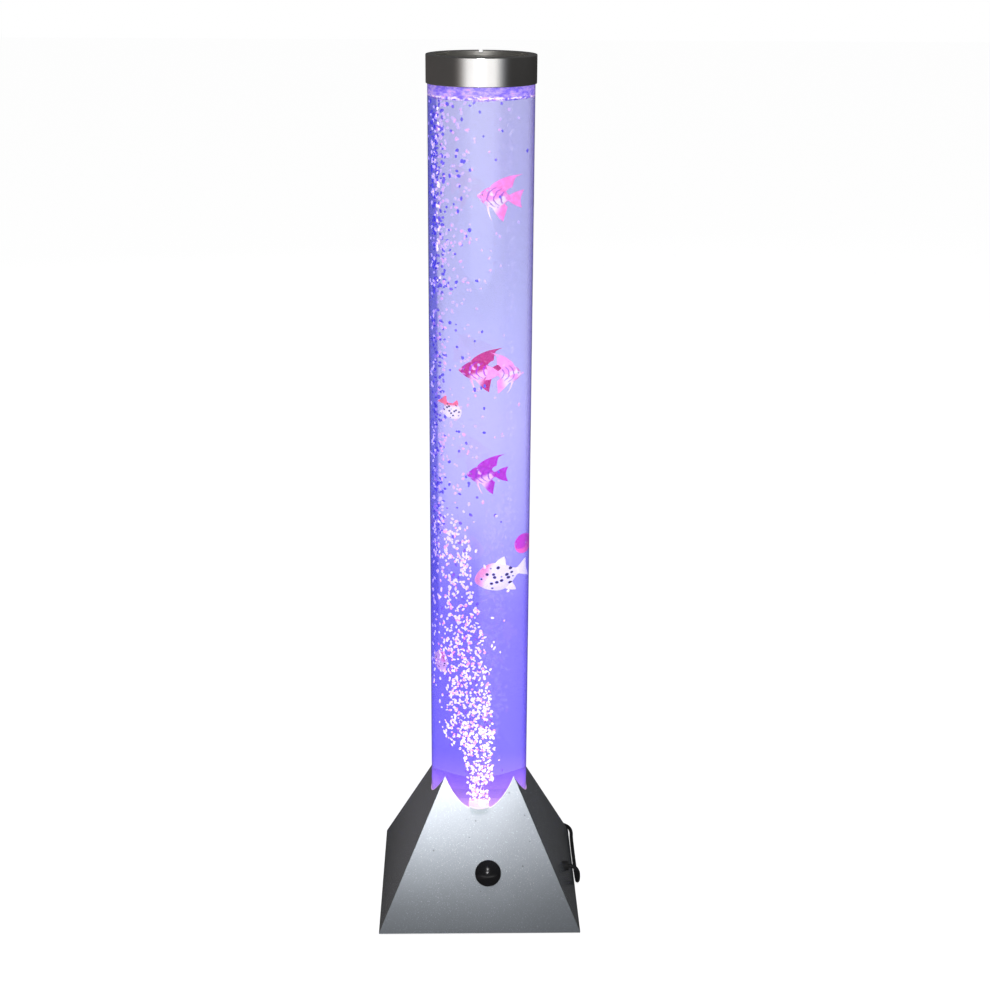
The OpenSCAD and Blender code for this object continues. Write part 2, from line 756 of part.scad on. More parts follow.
module holder_screws() {
    color("gray") at_button() for (i = [-1, 1]) translate([i * (ear_r - 0.4), 0, -wall - ear_t]) mirror([0, 0, 1])
        cross_screw(small_r, ear_t + holder_screw_len - 0.1, small_head_r, small_head_h);
}

module push_switch() {
    color("black") at_button() {
        translate([-switch_w / 2, -switch_w / 2, switch_z]) cube([switch_w, switch_w, switch_h]);
        translate([0, 0, switch_z + switch_h - eps]) cylinder(r = 1.7, h = switch_tip - switch_z - switch_h, $fn = 32);
    }
}

module switch_board() {
    color("darkgreen") at_button() difference() {
        translate([-13, -9, switch_z - board_t]) cube([26, 18, board_t]);
        for (i = [-1, 1]) translate([i * 9, 0, switch_z - board_t - 1]) cylinder(r = 1.3, h = board_t + 2, $fn = 24);
    }
}

// ---------- pump ----------

module lid_screw_places() {
    for (x = [pump_left + lid_screw_in, pump_x - lid_screw_in], j = [-1, 1])
        translate([x, j * (pump_w / 2 - lid_screw_in), 0]) children();
}

module pump_case() {
    color([0.15, 0.15, 0.17]) difference() {
        union() {
            difference() {
                translate([pump_left, -pump_w / 2, pump_z]) cube([pump_l, pump_w, pump_h]);
                translate([pump_left + pump_wall, -pump_in_y, pump_in_z])
                    cube([pump_l - 2 * pump_wall, 2 * pump_in_y, pump_h]);
            }
            lid_screw_places() translate([0, 0, pump_z + 0.5]) cylinder(r = lid_boss_r, h = pump_h - 0.5,
                $fn = 32);
            translate([arm_x, arm_y, pump_in_z - eps]) cylinder(r = hub_r, h = 3, $fn = 48);
        }
        lid_screw_places() translate([0, 0, pump_top - lid_screw_len - 1])
            cylinder(r = small_r + screw_gap, h = lid_screw_len + 2, $fn = 24);
        translate([arm_x, arm_y, pump_z + 1]) cylinder(r = pivot_d / 2 + 0.02, h = 10, $fn = 48);
        translate([pump_in_x - 1, 0, outlet_z]) rotate([0, 90, 0]) cylinder(r = 2.8, h = 4, $fn = 32);
        translate([pump_wire_x, pump_wire_out - 1, pump_wire_z]) rotate([-90, 0, 0])
            cylinder(r = 2.6, h = 2 * pump_wall, $fn = 32);
    }
}

module pump_lid() {
    color([0.15, 0.15, 0.17]) difference() {
        translate([pump_left, -pump_w / 2, pump_top]) cube([pump_l, pump_w, lid_t]);
        lid_screw_places() translate([0, 0, pump_top - 1]) cylinder(r = small_r + 0.15, h = lid_t + 2, $fn = 24);
        for (i = [-1 : 1]) translate([pump_left + 18 + 5 * i, 0, pump_top - 1]) cylinder(r = 1, h = lid_t + 2,
            $fn = 24);
    }
}

module pump_feet() {
    color([0.08, 0.08, 0.08]) lid_screw_places() translate([0, 0, plate_top]) cylinder(r = 3.4, h = damper_h,
        $fn = 32);
}

module pump_lid_screws() {
    color("gray") lid_screw_places() translate([0, 0, pump_top + lid_t])
        cross_screw(small_r, lid_t + lid_screw_len, small_head_r, small_head_h);
}

module pump_core() {
    color([0.35, 0.35, 0.37]) {
        translate([core_left, core_y, outlet_z - coil_h / 2])
            cube([4, pump_w / 2 - lid_screw_in - lid_boss_r - 0.4 - core_y, coil_h]);
        translate([core_left, pole_y - pole_w / 2, outlet_z - pole_h / 2])
            cube([pole_tip - core_left, pole_w, pole_h]);
        translate([pump_left + pump_wall, core_y, outlet_z - 4]) cube([core_left - pump_left - pump_wall + eps, 6, 8]);
    }
}

module pump_coil() {
    lap = 0.2;
    color([0.72, 0.38, 0.18]) translate([pole_tip - 2.5 - coil_l, pole_y, outlet_z]) rotate([90, 0, 90])
        linear_extrude(coil_l) difference() {
            square([coil_w, coil_h], center = true);
            square([pole_w + lap, pole_h + lap], center = true);
        }
}

module pump_pivot_pin() {
    color("lightgray") translate([arm_x, arm_y, pump_z + 1]) cylinder(d = pivot_d, h = pump_h - 4, $fn = 48);
}

module pump_arm() {
    color([0.9, 0.9, 0.88]) difference() {
        union() {
            translate([arm_x, arm_y, outlet_z - arm_h / 2 - 2]) cylinder(r = hub_r, h = arm_h + 4, $fn = 48);
            translate([arm_x, arm_y, outlet_z - arm_h / 2]) cube([arm_t, pole_y + magnet_w / 2 - arm_y, arm_h]);
        }
        translate([arm_x, arm_y, 0]) cylinder(r = pivot_d / 2 + pivot_gap, h = 2 * pump_h,
            $fn = 48);
    }
}

module pump_magnet() {
    color("gray") translate([arm_x - magnet_t, pole_y - magnet_w / 2, outlet_z - arm_h / 2])
        cube([magnet_t, magnet_w, arm_h]);
}

module pump_diaphragm() {
    hub_x = arm_x + arm_t;
    color([0.1, 0.1, 0.1]) translate([0, 0, outlet_z]) rotate([0, 90, 0]) rotate_extrude() polygon([
        [0, hub_x], [3, hub_x], [3, hub_x + 3], [6.5, hub_x + 4], [8.5, head_x - 3], [11, head_x - 2], [11, head_x],
        [8, head_x], [5.5, hub_x + 5.5], [0, hub_x + 5]]);
}

module pump_valve_head() {
    color([0.85, 0.85, 0.82]) difference() {
        union() {
            translate([head_x, -head_w / 2, outlet_z - head_tall / 2]) cube([head_l, head_w, head_tall]);
            translate([pump_in_x - eps, 0, outlet_z]) rotate([0, 90, 0]) cylinder(r = 2.6, h = pump_x + 1 - pump_in_x,
                $fn = 32);
            translate([pump_x, 0, outlet_z]) rotate([0, 90, 0]) cylinder(r = barb_r, h = outlet_tip - pump_x);
        }
        translate([head_x - eps, 0, outlet_z]) rotate([0, 90, 0]) cylinder(r = 7.5, h = 5);
        translate([head_x, 0, outlet_z]) rotate([0, 90, 0]) cylinder(d = 2, h = 40, $fn = 32);
    }
}

// ---------- control board and wiring ----------

module control_board() {
    color("darkgreen") difference() {
        translate([board_x, board_y, board_z]) cube([board_l, board_w, board_t]);
        board_posts() cylinder(r = small_r + 0.15, h = board_up + board_t + 1, $fn = 24);
    }
}

module board_screws() {
    color("gray") board_posts() translate([0, 0, board_up + board_t + eps])
        cross_screw(small_r, board_screw_len, small_head_r, small_head_h);
}

module board_components() {
    color([0.12, 0.12, 0.13]) translate([0, 0, board_top]) {
        for (p = [pump_plug, light_plug, switch_plug, supply_plug])
            translate([p[0] - plug_l / 2, p[1] - plug_w / 2, 0]) cube([plug_l, plug_w, plug_h]);
        translate([board_x + 20, board_y + 26, 0]) cube([10, 8, 2]);
        translate([board_x + 38, board_y + 36, 0]) cylinder(r = 4, h = 6, $fn = 48);
        translate([board_x + 8, board_y + 40, 0]) cylinder(r = 3, h = 5, $fn = 48);
    }
}

// Two wires side by side along a smooth line, parted at its start in a given direction
module wire_pair(p, apart) {
    line = smooth(p, 4);
    off = carried(line, 0, apart);
    color([0.6, 0.1, 0.1]) for (i = [-0.5, 0.5])
        bar([for (k = [0 : len(line) - 1]) line[k] + i * wire_pitch * off[k]], wire_d / 2, 6);
}

plug_top = board_top + plug_h + 0.05;

module pump_wires() {
    x = pump_plug[0];
    y = pump_plug[1];
    wx = pump_wire_x;
    wy = pump_wire_out;
    wz = pump_wire_z;
    wire_pair([[wx, wy + 1.6, wz], [wx, wy - 2, wz], [wx, wy - wire_bow / 2, wz],
        [wx + wire_lift, wy - wire_bow, wz - 2], [wx + pump_l * 0.6, wy - wire_bow, wz - 4],
        [wx + pump_l * 0.94, wy - 0.8 * wire_bow, wz - 4], [x - 3, y, plug_top + wire_lift],
        [x, y, plug_top + wire_lift / 2], [x, y, plug_top + wire_lift / 4], [x, y, plug_top]], [1, 0, 0]);
}

module light_wires() {
    x = light_plug[0];
    y = light_plug[1];
    top = light_board_z - 0.05;
    wire_pair([[light_board_r - 14, y + 8, top], [light_board_r - 14, y + 8, top - 4],
        [light_board_r - 14, y + 8, top - 8],
        [light_board_r - 10, y + 12, light_board_z - 22], [x + 1, y + 8, plug_top + 20], [x, y, plug_top + 7],
        [x, y, plug_top + 3.5], [x, y, plug_top]], [0, 1, 0]);
}

module switch_wires() {
    x = switch_plug[0];
    y = switch_plug[1];
    back = switch_z - board_t - 0.05;
    start = [button_x + 3, button_y - back * sin(slope), button_z + back * cos(slope)];
    inward = [0, sin(slope), -cos(slope)];
    wire_pair([start, start + 3 * inward, start + 6 * inward, start + [10, 14, -4], [x - 12, y - 10, plug_top + 18],
        [x - 2, y - 2, plug_top + 10], [x, y, plug_top + 5], [x, y, plug_top + 2.5], [x, y, plug_top]], [1, 0, 0]);
}

module supply_wires() {
    x = supply_plug[0];
    y = supply_plug[1];
    wire_pair([[exit_x - 15, -cord_exit_y, cord_exit_z], [exit_x - 18, -cord_exit_y, cord_exit_z],
        [x + 2, y, plug_top + 7], [x, y, plug_top + 4], [x, y, plug_top + 2], [x, y, plug_top]], [0, 1, 0]);
}

// ---------- cord ----------

module cord_gland() {
    inner_end = exit_x - 15;
    color([0.05, 0.05, 0.05]) difference() {
        union() {
            at_exit(inner_end) cylinder(r = gland_in, h = inner_x(cord_exit_z + gland_in) - inner_end, $fn = 48);
            at_exit(inner_end) cylinder(r = gland_neck, h = 14, $fn = 48);
            difference() {
                at_exit(exit_x - 12) cylinder(d = gland_d, h = 12, $fn = 48);
                taper(0, foot_h, cord_exit_z + 40);
            }
        }
        at_exit(inner_end - 1) cylinder(r = wire_pitch, h = 8, $fn = 32);
    }
}

module supply_cord() {
    color([0.05, 0.05, 0.05]) bar(smooth(cord_points, 4), cord_r, 8);
}

// The coil winds in and out again, layer on layer, and climbs in the half turn where it reverses
coil_turns = coil_layers * layer_turns;
coil_in = coil_out - layer_turns * coil_pitch;

function coil_radius(t) = let (l = floor(t / layer_turns), u = t / layer_turns - l)
    l % 2 == 0 ? coil_out + (coil_in - coil_out) * u : coil_in + (coil_out - coil_in) * u;

function ease(u) = u <= 0 ? 0 : u >= 1 ? 1 : u * u * (3 - 2 * u);

function coil_height(t) = coil_z + coil_pitch * sum_eases(t, 1);
function sum_eases(t, l) = l > coil_layers - 1 ? 0 : ease((t - l * layer_turns + 0.25) / 0.5) + sum_eases(t, l + 1);

function coil_point(t) = let (a = -90 - 360 * t)
    [coil_c[0] + coil_radius(t) * cos(a), coil_c[1] + coil_radius(t) * sin(a), coil_height(t)];

coil_steps = coil_turns * coil_rings;
coil_line = concat([[coil_c[0] + cord_d, coil_c[1] - coil_out, coil_z]],
    [for (i = [0 : coil_steps]) coil_point(i / coil_rings)],
    [[coil_c[0] - cord_d, coil_c[1] - coil_out, adapter_entry]]);

module cord_coil() {
    color([0.05, 0.05, 0.05]) bar(coil_line, cord_r, coil_sides);
}

// The least distance between points of the coil at least half a turn apart, less the cord's diameter
function coil_gap() = min([for (i = [0 : coil_steps])
    for (j = [i + coil_rings / 2 : 1 : min(i + 4 * coil_rings, coil_steps)])
        norm(coil_line[i] - coil_line[j])]) - cord_d;
echo(coil_self_gap_mm = coil_gap());
echo(cord_length_mm = path_length(smooth(cord_points, 4)) + path_length(coil_line));

module cord_tie() {
    lap = 0.12;
    w = coil_out - coil_in + cord_d + 2 * lap;
    h = (coil_layers - 1) * coil_pitch + cord_d + 2 * lap;
    color("black") translate([coil_c[0] - tie_w / 2, coil_c[1] + coil_in - cord_r - lap, coil_z - cord_r - lap])
        rotate([90, 0, 90]) linear_extrude(tie_w) difference() {
            translate([-tie_t, -tie_t + 0.02]) square([w + 2 * tie_t, h + 2 * tie_t - 0.02]);
            square([w, h]);
        }
}

module adapter_body() {
    color([0.05, 0.05, 0.05]) {
        difference() {
            translate([adapter_left, adapter_y, 0]) cube([adapter_l, adapter_w, adapter_h]);
            translate([adapter_left + adapter_l / 2 - 14, adapter_y + 4, adapter_h - 0.6])
                cube([28, adapter_w - 8, 1]);
        }
        translate([adapter_left + adapter_l - eps, coil_c[1] - coil_out, adapter_entry]) rotate([0, 90, 0])
            cylinder(r1 = cord_r + 2.6, r2 = cord_r + 0.8, h = adapter_gap - cord_d + eps, $fn = 48);
    }
}

module adapter_pins() {
    color("silver") for (i = [-1, 1])
        translate([adapter_left + adapter_l / 2 + i * pin_pitch / 2, adapter_y + adapter_w, adapter_h / 2])
            rotate([-90, 0, 0]) {
                cylinder(r = pin_r, h = pin_len - pin_r, $fn = 32);
                translate([0, 0, pin_len - pin_r - eps]) cylinder(r1 = pin_r, r2 = pin_r / 2, h = pin_r, $fn = 32);
            }
}

// ---------- cap ----------

module top_cap() {
    c = cap_round;
    color("slategray") difference() {
        rotate_extrude() difference() {
            union() {
                translate([0, dish_z]) square([dish_r + eps, dish_t]);
                translate([cap_in, cap_z + c]) square([cap_skin, cap_top - cap_z - 2 * c]);
                translate([dish_r, dish_z]) square([rim_w - c, cap_top - dish_z]);
                translate([dish_r, dish_z]) square([rim_w, cap_top - dish_z - c]);
                translate([cap_r - c, cap_top - c]) circle(r = c, $fn = 48);
                intersection() {
                    translate([cap_r - c, cap_z + c]) circle(r = c, $fn = 48);
                    translate([cap_in, cap_z]) square([cap_skin, 2 * c]);
                }
            }
            translate([0, cap_top]) square([2 * cap_r, cap_h]);
        }
        translate([-vent_w / 2, dish_r - 4, cap_top - vent_depth]) cube([vent_w, rim_w + 10, vent_depth + 2]);
    }
}

module cap_insert() {
    color("dimgray") {
        pipe(tube_r, spigot_r - spigot_wall, tube_top, insert_t);
        pipe(spigot_r, spigot_r - spigot_wall, tube_top - spigot_len, spigot_len + eps);
    }
}

// ---------- toy fish ----------

// A fish's body from its cross-sections, nose towards +X
module fish_body(stations, l, tall, wide) {
    points = [for (s = stations) for (k = [0 : fish_sides - 1]) let (a = 360 * k / fish_sides)
        [s[0] * l, -s[2] * l * wide * sin(a), s[1] * l * tall * cos(a)]];
    polyhedron(points, skin_faces(len(stations), fish_sides), convexity = 6);
}

// A flat upright fin from its outline
module fin(outline, l, tall) {
    rotate([90, 0, 0]) linear_extrude(fin_t, center = true) polygon([for (p = outline) [p[0] * l, p[1] * l * tall]]);
}

// The pair of side fins, spread out from the body
module side_fins(l, wide) {
    for (i = [-1, 1]) translate([0.16 * l, i * 0.12 * l * wide, -0.05 * l]) rotate([0, 0, -i * 30])
        rotate([90, 0, 0]) linear_extrude(fin_t, center = true) polygon(side_fin * l);
}

module angelfish(l) {
    union() {
        fish_body(angel_body, l, 1, 1);
        fin(angel_top_fin, l, 1);
        fin(angel_low_fin, l, 1);
        fin(angel_tail, l, 1);
        fin(angel_feeler, l, 1);
        side_fins(l, 1);
    }
}

module puffer(l, tall, wide) {
    union() {
        fish_body(puffer_body, l, tall, wide);
        fin(puffer_top_fin, l, tall);
        mirror([0, 0, 1]) fin(puffer_top_fin, l, tall);
        fin(puffer_tail, l, tall);
        side_fins(l, wide);
    }
}

// Puts a fish in the water: its place, how far its nose dips, and the way it faces
module swim(at, dip, turn) {
    translate(at) rotate([0, 0, turn]) rotate([0, dip, 0]) children();
}

module pink_angelfish_upper() {
    color("pink") swim(pink_upper_at, -6, 180) angelfish(pink_upper_l);
}

module pink_angelfish_middle() {
    color("lightpink") swim(pink_middle_at, 4, 0) angelfish(pink_middle_l);
}

module red_angelfish() {
    color("crimson") swim(red_at, 0, 180) angelfish(red_l);
}

module magenta_angelfish() {
    color("mediumvioletred") swim(magenta_at, 0, 180) angelfish(magenta_l);
}

module spotted_puffer_large() {
    color("lavender") swim(puffer_large_at, 16, 180) puffer(puffer_large_l, 1, 1);
}

module spotted_puffer_left() {
    color("lavenderblush") swim(puffer_left_at, 52, 0) puffer(puffer_left_l, 1.1, 0.9);
}

module spotted_puffer_lower() {
    color("lavenderblush") swim(puffer_lower_at, 0, -90) puffer(puffer_lower_l, 1.6, 0.9);
}

module purple_discus() {
    color("purple") swim(discus_at, 0, -90) puffer(discus_l, 1.9, 0.9);
}

// ---------- the lamp ----------

base_housing();
bottom_plate();
rubber_feet();
base_screws();
tube();
tube_floor();
tube_cradle();
cradle_screws();
air_nozzle();
nozzle_seal();
nozzle_nut();
air_stone();
air_elbow();
upper_air_hose();
check_valve();
lower_air_hose();
light_board();
lamps();
light_board_screws();
control_board();
board_components();
board_screws();
button_cap();
button_spring();
button_holder();
holder_screws();
push_switch();
switch_board();
pump_case();
pump_lid();
pump_feet();
pump_lid_screws();
pump_core();
pump_coil();
pump_pivot_pin();
pump_arm();
pump_magnet();
pump_diaphragm();
pump_valve_head();
pump_wires();
light_wires();
switch_wires();
supply_wires();
cord_gland();
top_cap();
cap_insert();
pink_angelfish_upper();
pink_angelfish_middle();
red_angelfish();
magenta_angelfish();
spotted_puffer_large();
spotted_puffer_left();
spotted_puffer_lower();
purple_discus();
supply_cord();
cord_coil();
cord_tie();
adapter_body();
adapter_pins();
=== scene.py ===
"""Looks of the bubble tube floor lamp: a clear tube of glowing water on a silver four-sided base."""

import json
import math
import random

import bmesh
import bpy
from mathutils import Matrix, Vector


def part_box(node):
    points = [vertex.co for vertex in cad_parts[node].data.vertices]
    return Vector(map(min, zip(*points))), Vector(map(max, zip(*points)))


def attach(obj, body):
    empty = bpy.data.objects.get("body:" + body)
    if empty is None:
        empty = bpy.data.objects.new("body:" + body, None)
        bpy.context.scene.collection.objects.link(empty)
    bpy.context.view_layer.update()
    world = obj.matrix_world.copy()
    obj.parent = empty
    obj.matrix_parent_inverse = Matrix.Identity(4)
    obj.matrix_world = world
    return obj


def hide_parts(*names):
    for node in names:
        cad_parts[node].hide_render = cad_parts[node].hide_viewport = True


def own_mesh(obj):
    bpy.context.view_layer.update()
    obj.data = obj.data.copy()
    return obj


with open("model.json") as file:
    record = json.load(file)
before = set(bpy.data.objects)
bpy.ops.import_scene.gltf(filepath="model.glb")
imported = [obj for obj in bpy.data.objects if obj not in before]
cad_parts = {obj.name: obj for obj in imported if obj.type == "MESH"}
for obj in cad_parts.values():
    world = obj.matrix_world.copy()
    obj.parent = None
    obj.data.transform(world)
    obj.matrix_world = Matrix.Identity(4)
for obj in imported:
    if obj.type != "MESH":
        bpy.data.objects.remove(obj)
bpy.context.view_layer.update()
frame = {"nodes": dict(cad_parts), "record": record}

NODES = frame["nodes"]

# Heights and radii of the lamp, in metres, read from the frame where it has them
FLOOR_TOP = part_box("tube_floor")[1].z
TUBE_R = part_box("tube")[1].x
TUBE_WALL = 0.003
TUBE_IN = TUBE_R - TUBE_WALL
TUBE_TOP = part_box("tube")[1].z
WATER_GAP, FOAM_GAP = 0.029, 0.0172
WATER_TOP, FOAM_TOP = TUBE_TOP - WATER_GAP, TUBE_TOP - FOAM_GAP
WET = TUBE_IN + 0.0001
CAP_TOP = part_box("top_cap")[1].z
CUP_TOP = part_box("air_nozzle")[1].z
CUP_R = 0.0075
WATER_IOR = 1.333

# The button's middle on the front face, and the way out of that face and up along it
BUTTON = Vector((0.0087, -0.0778, 0.0567))
BUTTON_TILT = math.radians(64.754)
BUTTON_OUT = Vector((0.0, -math.sin(BUTTON_TILT), math.cos(BUTTON_TILT)))
BUTTON_UP = Vector((0.0, math.cos(BUTTON_TILT), math.sin(BUTTON_TILT)))


# ---- Shader maths ----

class Wire:
    """One output of a node. Arithmetic on it adds Math nodes."""

    def __init__(self, nodes, socket):
        self.nodes, self.socket = nodes, socket

    def maths(self, operation, *terms):
        return self.nodes.node("ShaderNodeMath", {"operation": operation}, dict(enumerate(terms)))

    def __add__(self, other):
        return self.maths("ADD", self, other)

    def __sub__(self, other):
        return self.maths("SUBTRACT", self, other)

    def __rsub__(self, other):
        return self.maths("SUBTRACT", other, self)

    def __mul__(self, other):
        return self.maths("MULTIPLY", self, other)

    def __truediv__(self, other):
        return self.maths("DIVIDE", self, other)

    def __gt__(self, other):
        return self.maths("GREATER_THAN", self, other)

    def __lt__(self, other):
        return self.maths("LESS_THAN", self, other)

    __radd__, __rmul__ = __add__, __mul__

    def ramp(self, low, high):
        """0 at low, 1 at high, smooth between them."""
        return self.nodes.node("ShaderNodeMapRange", {"interpolation_type": "SMOOTHSTEP"}, {
            "Value": self, "From Min": low, "From Max": high})


class Nodes:
    """A node tree and what is added to it."""

    def __init__(self, tree):
        self.tree = tree
        tree.nodes.clear()

    def node(self, kind, settings=None, sockets=None, out=0):
        """Adds a node, sets what it is set to, then its sockets, and gives one of its outputs."""
        node = self.tree.nodes.new(kind)
        for key, value in (settings or {}).items():
            setattr(node, key, value)
        for key, value in (sockets or {}).items():
            if isinstance(value, Wire):
                self.tree.links.new(value.socket, node.inputs[key])
            else:
                node.inputs[key].default_value = value
        return Wire(self, node.outputs[out])

    def end(self, kind, key, wire):
        """Leads a wire into the tree's output node."""
        self.tree.links.new(wire.socket, self.tree.nodes.new(kind).inputs[key])


class Finish(Nodes):
    """The nodes of a material, or of the world."""

    def __init__(self, name, world=False):
        self.owner = (bpy.data.worlds if world else bpy.data.materials).new(name)
        self.owner.use_nodes = True
        super().__init__(self.owner.node_tree)
        self.place = self.node("ShaderNodeTexCoord", out="Object")

    def noise(self, scale, detail=3.0, roughness=0.5, stretch=None):
        """A noise of a given number of cells to the metre."""
        place = self.place
        if stretch:
            place = self.node("ShaderNodeMapping", {"vector_type": "POINT"}, {"Vector": place, "Scale": stretch})
        return self.node("ShaderNodeTexNoise", sockets={
            "Vector": place, "Scale": scale, "Detail": detail, "Roughness": roughness})

    def cells(self, scale, place=None, randomness=1.0):
        """The distance to the nearest of scattered points, a given number of them to the metre."""
        return self.node("ShaderNodeTexVoronoi", {"feature": "F1"}, {
            "Vector": place or self.place, "Scale": scale, "Randomness": randomness})

    def along(self, axis, place=None):
        return self.node("ShaderNodeSeparateXYZ", sockets={0: place or self.place}, out=axis)

    def ray(self, kind):
        """1 to one kind of ray, 0 to all others."""
        return self.node("ShaderNodeLightPath", out=f"Is {kind} Ray")

    def mix(self, share, first, second):
        """A colour between two, by a share."""
        return self.node("ShaderNodeMix", {"data_type": "RGBA"}, {0: share, 6: rgba(first), 7: rgba(second)}, out=2)

    def bump(self, height, distance, strength=1.0):
        return self.node("ShaderNodeBump", sockets={"Height": height, "Distance": distance, "Strength": strength})

    def surface(self, **sockets):
        """A Principled surface. Words in the names are joined by underscores."""
        return self.node("ShaderNodeBsdfPrincipled", sockets={
            key.replace("_", " "): value for key, value in sockets.items()})

    def done(self, shader):
        self.end("ShaderNodeOutputMaterial", "Surface", shader)
        return self.owner

    def paint(self, **sockets):
        """The material, as one Principled surface."""
        return self.done(self.surface(**sockets))

    def lit_through(self, shader, colour):
        """The material, as a shader that is see-through to shadows, so that the lamps' light gets in."""
        see = self.node("ShaderNodeBsdfTransparent", sockets={"Color": rgba(colour)})
        return self.done(self.node("ShaderNodeMixShader", sockets={0: self.ray("Shadow"), 1: shader, 2: see}))


def rgba(colour):
    return colour if isinstance(colour, Wire) else (*colour[:3], 1.0)


# ---- Mesh helpers ----

def placed(name, data):
    """A new object in the scene."""
    thing = bpy.data.objects.new(name, data)
    bpy.context.scene.collection.objects.link(thing)
    return thing


def piece(name, vertices, faces, material, body, smooth=True):
    """A mesh piece in the row frame that rides on a body."""
    mesh = bpy.data.meshes.new(name)
    mesh.from_pydata(vertices, [], faces)
    mesh.update()
    if smooth:
        mesh.polygons.foreach_set("use_smooth", [True] * len(mesh.polygons))
    mesh.materials.append(material)
    thing = placed(name, mesh)
    if body:
        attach(thing, body)
    return thing


def crisp(thing, degrees):
    """Shades the edges that are sharper than an angle as edges."""
    thing.data.set_sharp_from_angle(angle=math.radians(degrees))


def seal(thing):
    """Joins the points that fall together and turns all faces outward."""
    work = bmesh.new()
    work.from_mesh(thing.data)
    bmesh.ops.remove_doubles(work, verts=work.verts, dist=1e-6)
    bmesh.ops.recalc_face_normals(work, faces=work.faces)
    work.to_mesh(thing.data)
    work.free()


def plain(thing):
    """Turns what the modifiers give into the object's own mesh."""
    mesh = bpy.data.meshes.new_from_object(thing.evaluated_get(bpy.context.evaluated_depsgraph_get()))
    thing.modifiers.clear()
    thing.data = mesh


def turned(outline, steps):
    """Points and faces of an outline of (radius, height) turned round the upright axis, closed where it meets it."""
    points, faces, rows = [], [], []
    for radius, height in outline:
        count = 1 if radius < 1e-7 else steps
        rows.append(range(len(points), len(points) + count))
        points += [(radius * math.cos(math.tau * k / steps), radius * math.sin(math.tau * k / steps), height)
                   for k in range(count)]
    for a, b in zip(rows, rows[1:]):
        for k in range(steps):
            n = (k + 1) % steps
            if len(a) == 1 < len(b):
                faces.append((a[0], b[n], b[k]))
            elif len(b) == 1 < len(a):
                faces.append((a[k], a[n], b[0]))
            elif len(a) > 1:
                faces.append((a[k], a[n], b[n], b[k]))
    return points, faces


def smooth_line(points, steps):
    """The curve through the points, with a number of steps between each two."""
    line = []
    last = len(points) - 1
    for i in range(last):
        p0, p1, p2, p3 = (Vector(points[max(0, min(last, i + k))]) for k in (-1, 0, 1, 2))
        for s in range(steps):
            t = s / steps
            line.append(0.5 * (2 * p1 + (p2 - p0) * t + (2 * p0 - 5 * p1 + 4 * p2 - p3) * t * t
                               + (3 * p1 - p0 - 3 * p2 + p3) * t ** 3))
    return line + [Vector(points[-1])]


def tube_mesh(line, radius, sides):
    """Points and faces of a round bar along a line, with closed ends."""
    count = len(line)
    heading = [(line[min(i + 1, count - 1)] - line[max(i - 1, 0)]).normalized() for i in range(count)]
    across = heading[0].orthogonal().normalized()
    points, faces = [], []
    for i in range(count):
        across = (across - across.dot(heading[i]) * heading[i]).normalized()
        up = heading[i].cross(across)
        points += [line[i] + radius * (math.cos(math.tau * k / sides) * across + math.sin(math.tau * k / sides) * up)
                   for k in range(sides)]
    for i in range(count - 1):
        for k in range(sides):
            n = (k + 1) % sides
            faces.append((i * sides + k, i * sides + n, (i + 1) * sides + n, (i + 1) * sides + k))
    faces.append(tuple(reversed(range(sides))))
    faces.append(tuple(range((count - 1) * sides, count * sides)))
    return points, faces


# ---- Camera, where the photograph was taken from ----

CAMERA_AT = (0.0, -1.581, 0.9819)
PAN, PITCH, ROLL, TURN = (math.radians(angle) for angle in (0.547, 18.850, 0.375, -0.755))
SENSOR, LENS, NEAR, FAR = 36.0, 60.749, 0.05, 60.0


def set_camera():
    turn = Matrix.Rotation(TURN, 3, "Z")
    ahead = Vector((math.sin(PAN) * math.cos(PITCH), math.cos(PAN) * math.cos(PITCH), -math.sin(PITCH)))
    right = Vector((math.cos(PAN), -math.sin(PAN), 0.0))
    up = right.cross(ahead)
    right, up = (math.cos(ROLL) * right + math.sin(ROLL) * up, -math.sin(ROLL) * right + math.cos(ROLL) * up)
    axes = Matrix((turn @ right, turn @ up, turn @ -ahead)).transposed()
    data = bpy.data.cameras.new("camera")
    data.sensor_width, data.lens, data.clip_start, data.clip_end = SENSOR, LENS, NEAR, FAR
    camera = placed("camera", data)
    camera.matrix_world = Matrix.Translation(turn @ Vector(CAMERA_AT)) @ axes.to_4x4()
    bpy.context.scene.camera = camera


set_camera()
bpy.context.scene.view_settings.view_transform = "Standard"


# ---- Supply cord: out of the right face, down to the floor, round the back into its coil ----

# Measures of the cord and its coil in millimetres, apart from the cord's diameter in metres
CORD_D = 0.004
CORD_ROUTE = [(96, -17, 28), (100.4, -17, 27.2), (104.2, -17, 24.5), (106.5, -16.8, 20.2), (107, -16.2, 15),
              (107, -14.2, 9.8), (106.7, -10.4, 5.4), (106.4, -4.6, 2.8), (106.2, 4, 2.1), (106, 16, 2),
              (105.9, 36, 2), (105.9, 60, 2), (106.1, 84, 2), (106.6, 98, 2), (104.6, 108, 2), (98, 115, 2.1),
              (88, 118.6, 2.4), (74, 119.8, 2.7), (58, 120, 2.8), (44, 120, 2.9), (30, 120, 2.9), (18, 120, 2.9)]
COIL_CENTRE, COIL_LEAD = (14.0, 148.0), 4.0
COIL_OUT, COIL_PITCH, COIL_Z = 28.0, 4.5, 2.9
COIL_LAYERS, LAYER_TURNS, TURN_STEPS, CLIMB_TURNS = 4, 2.75, 24, 0.5


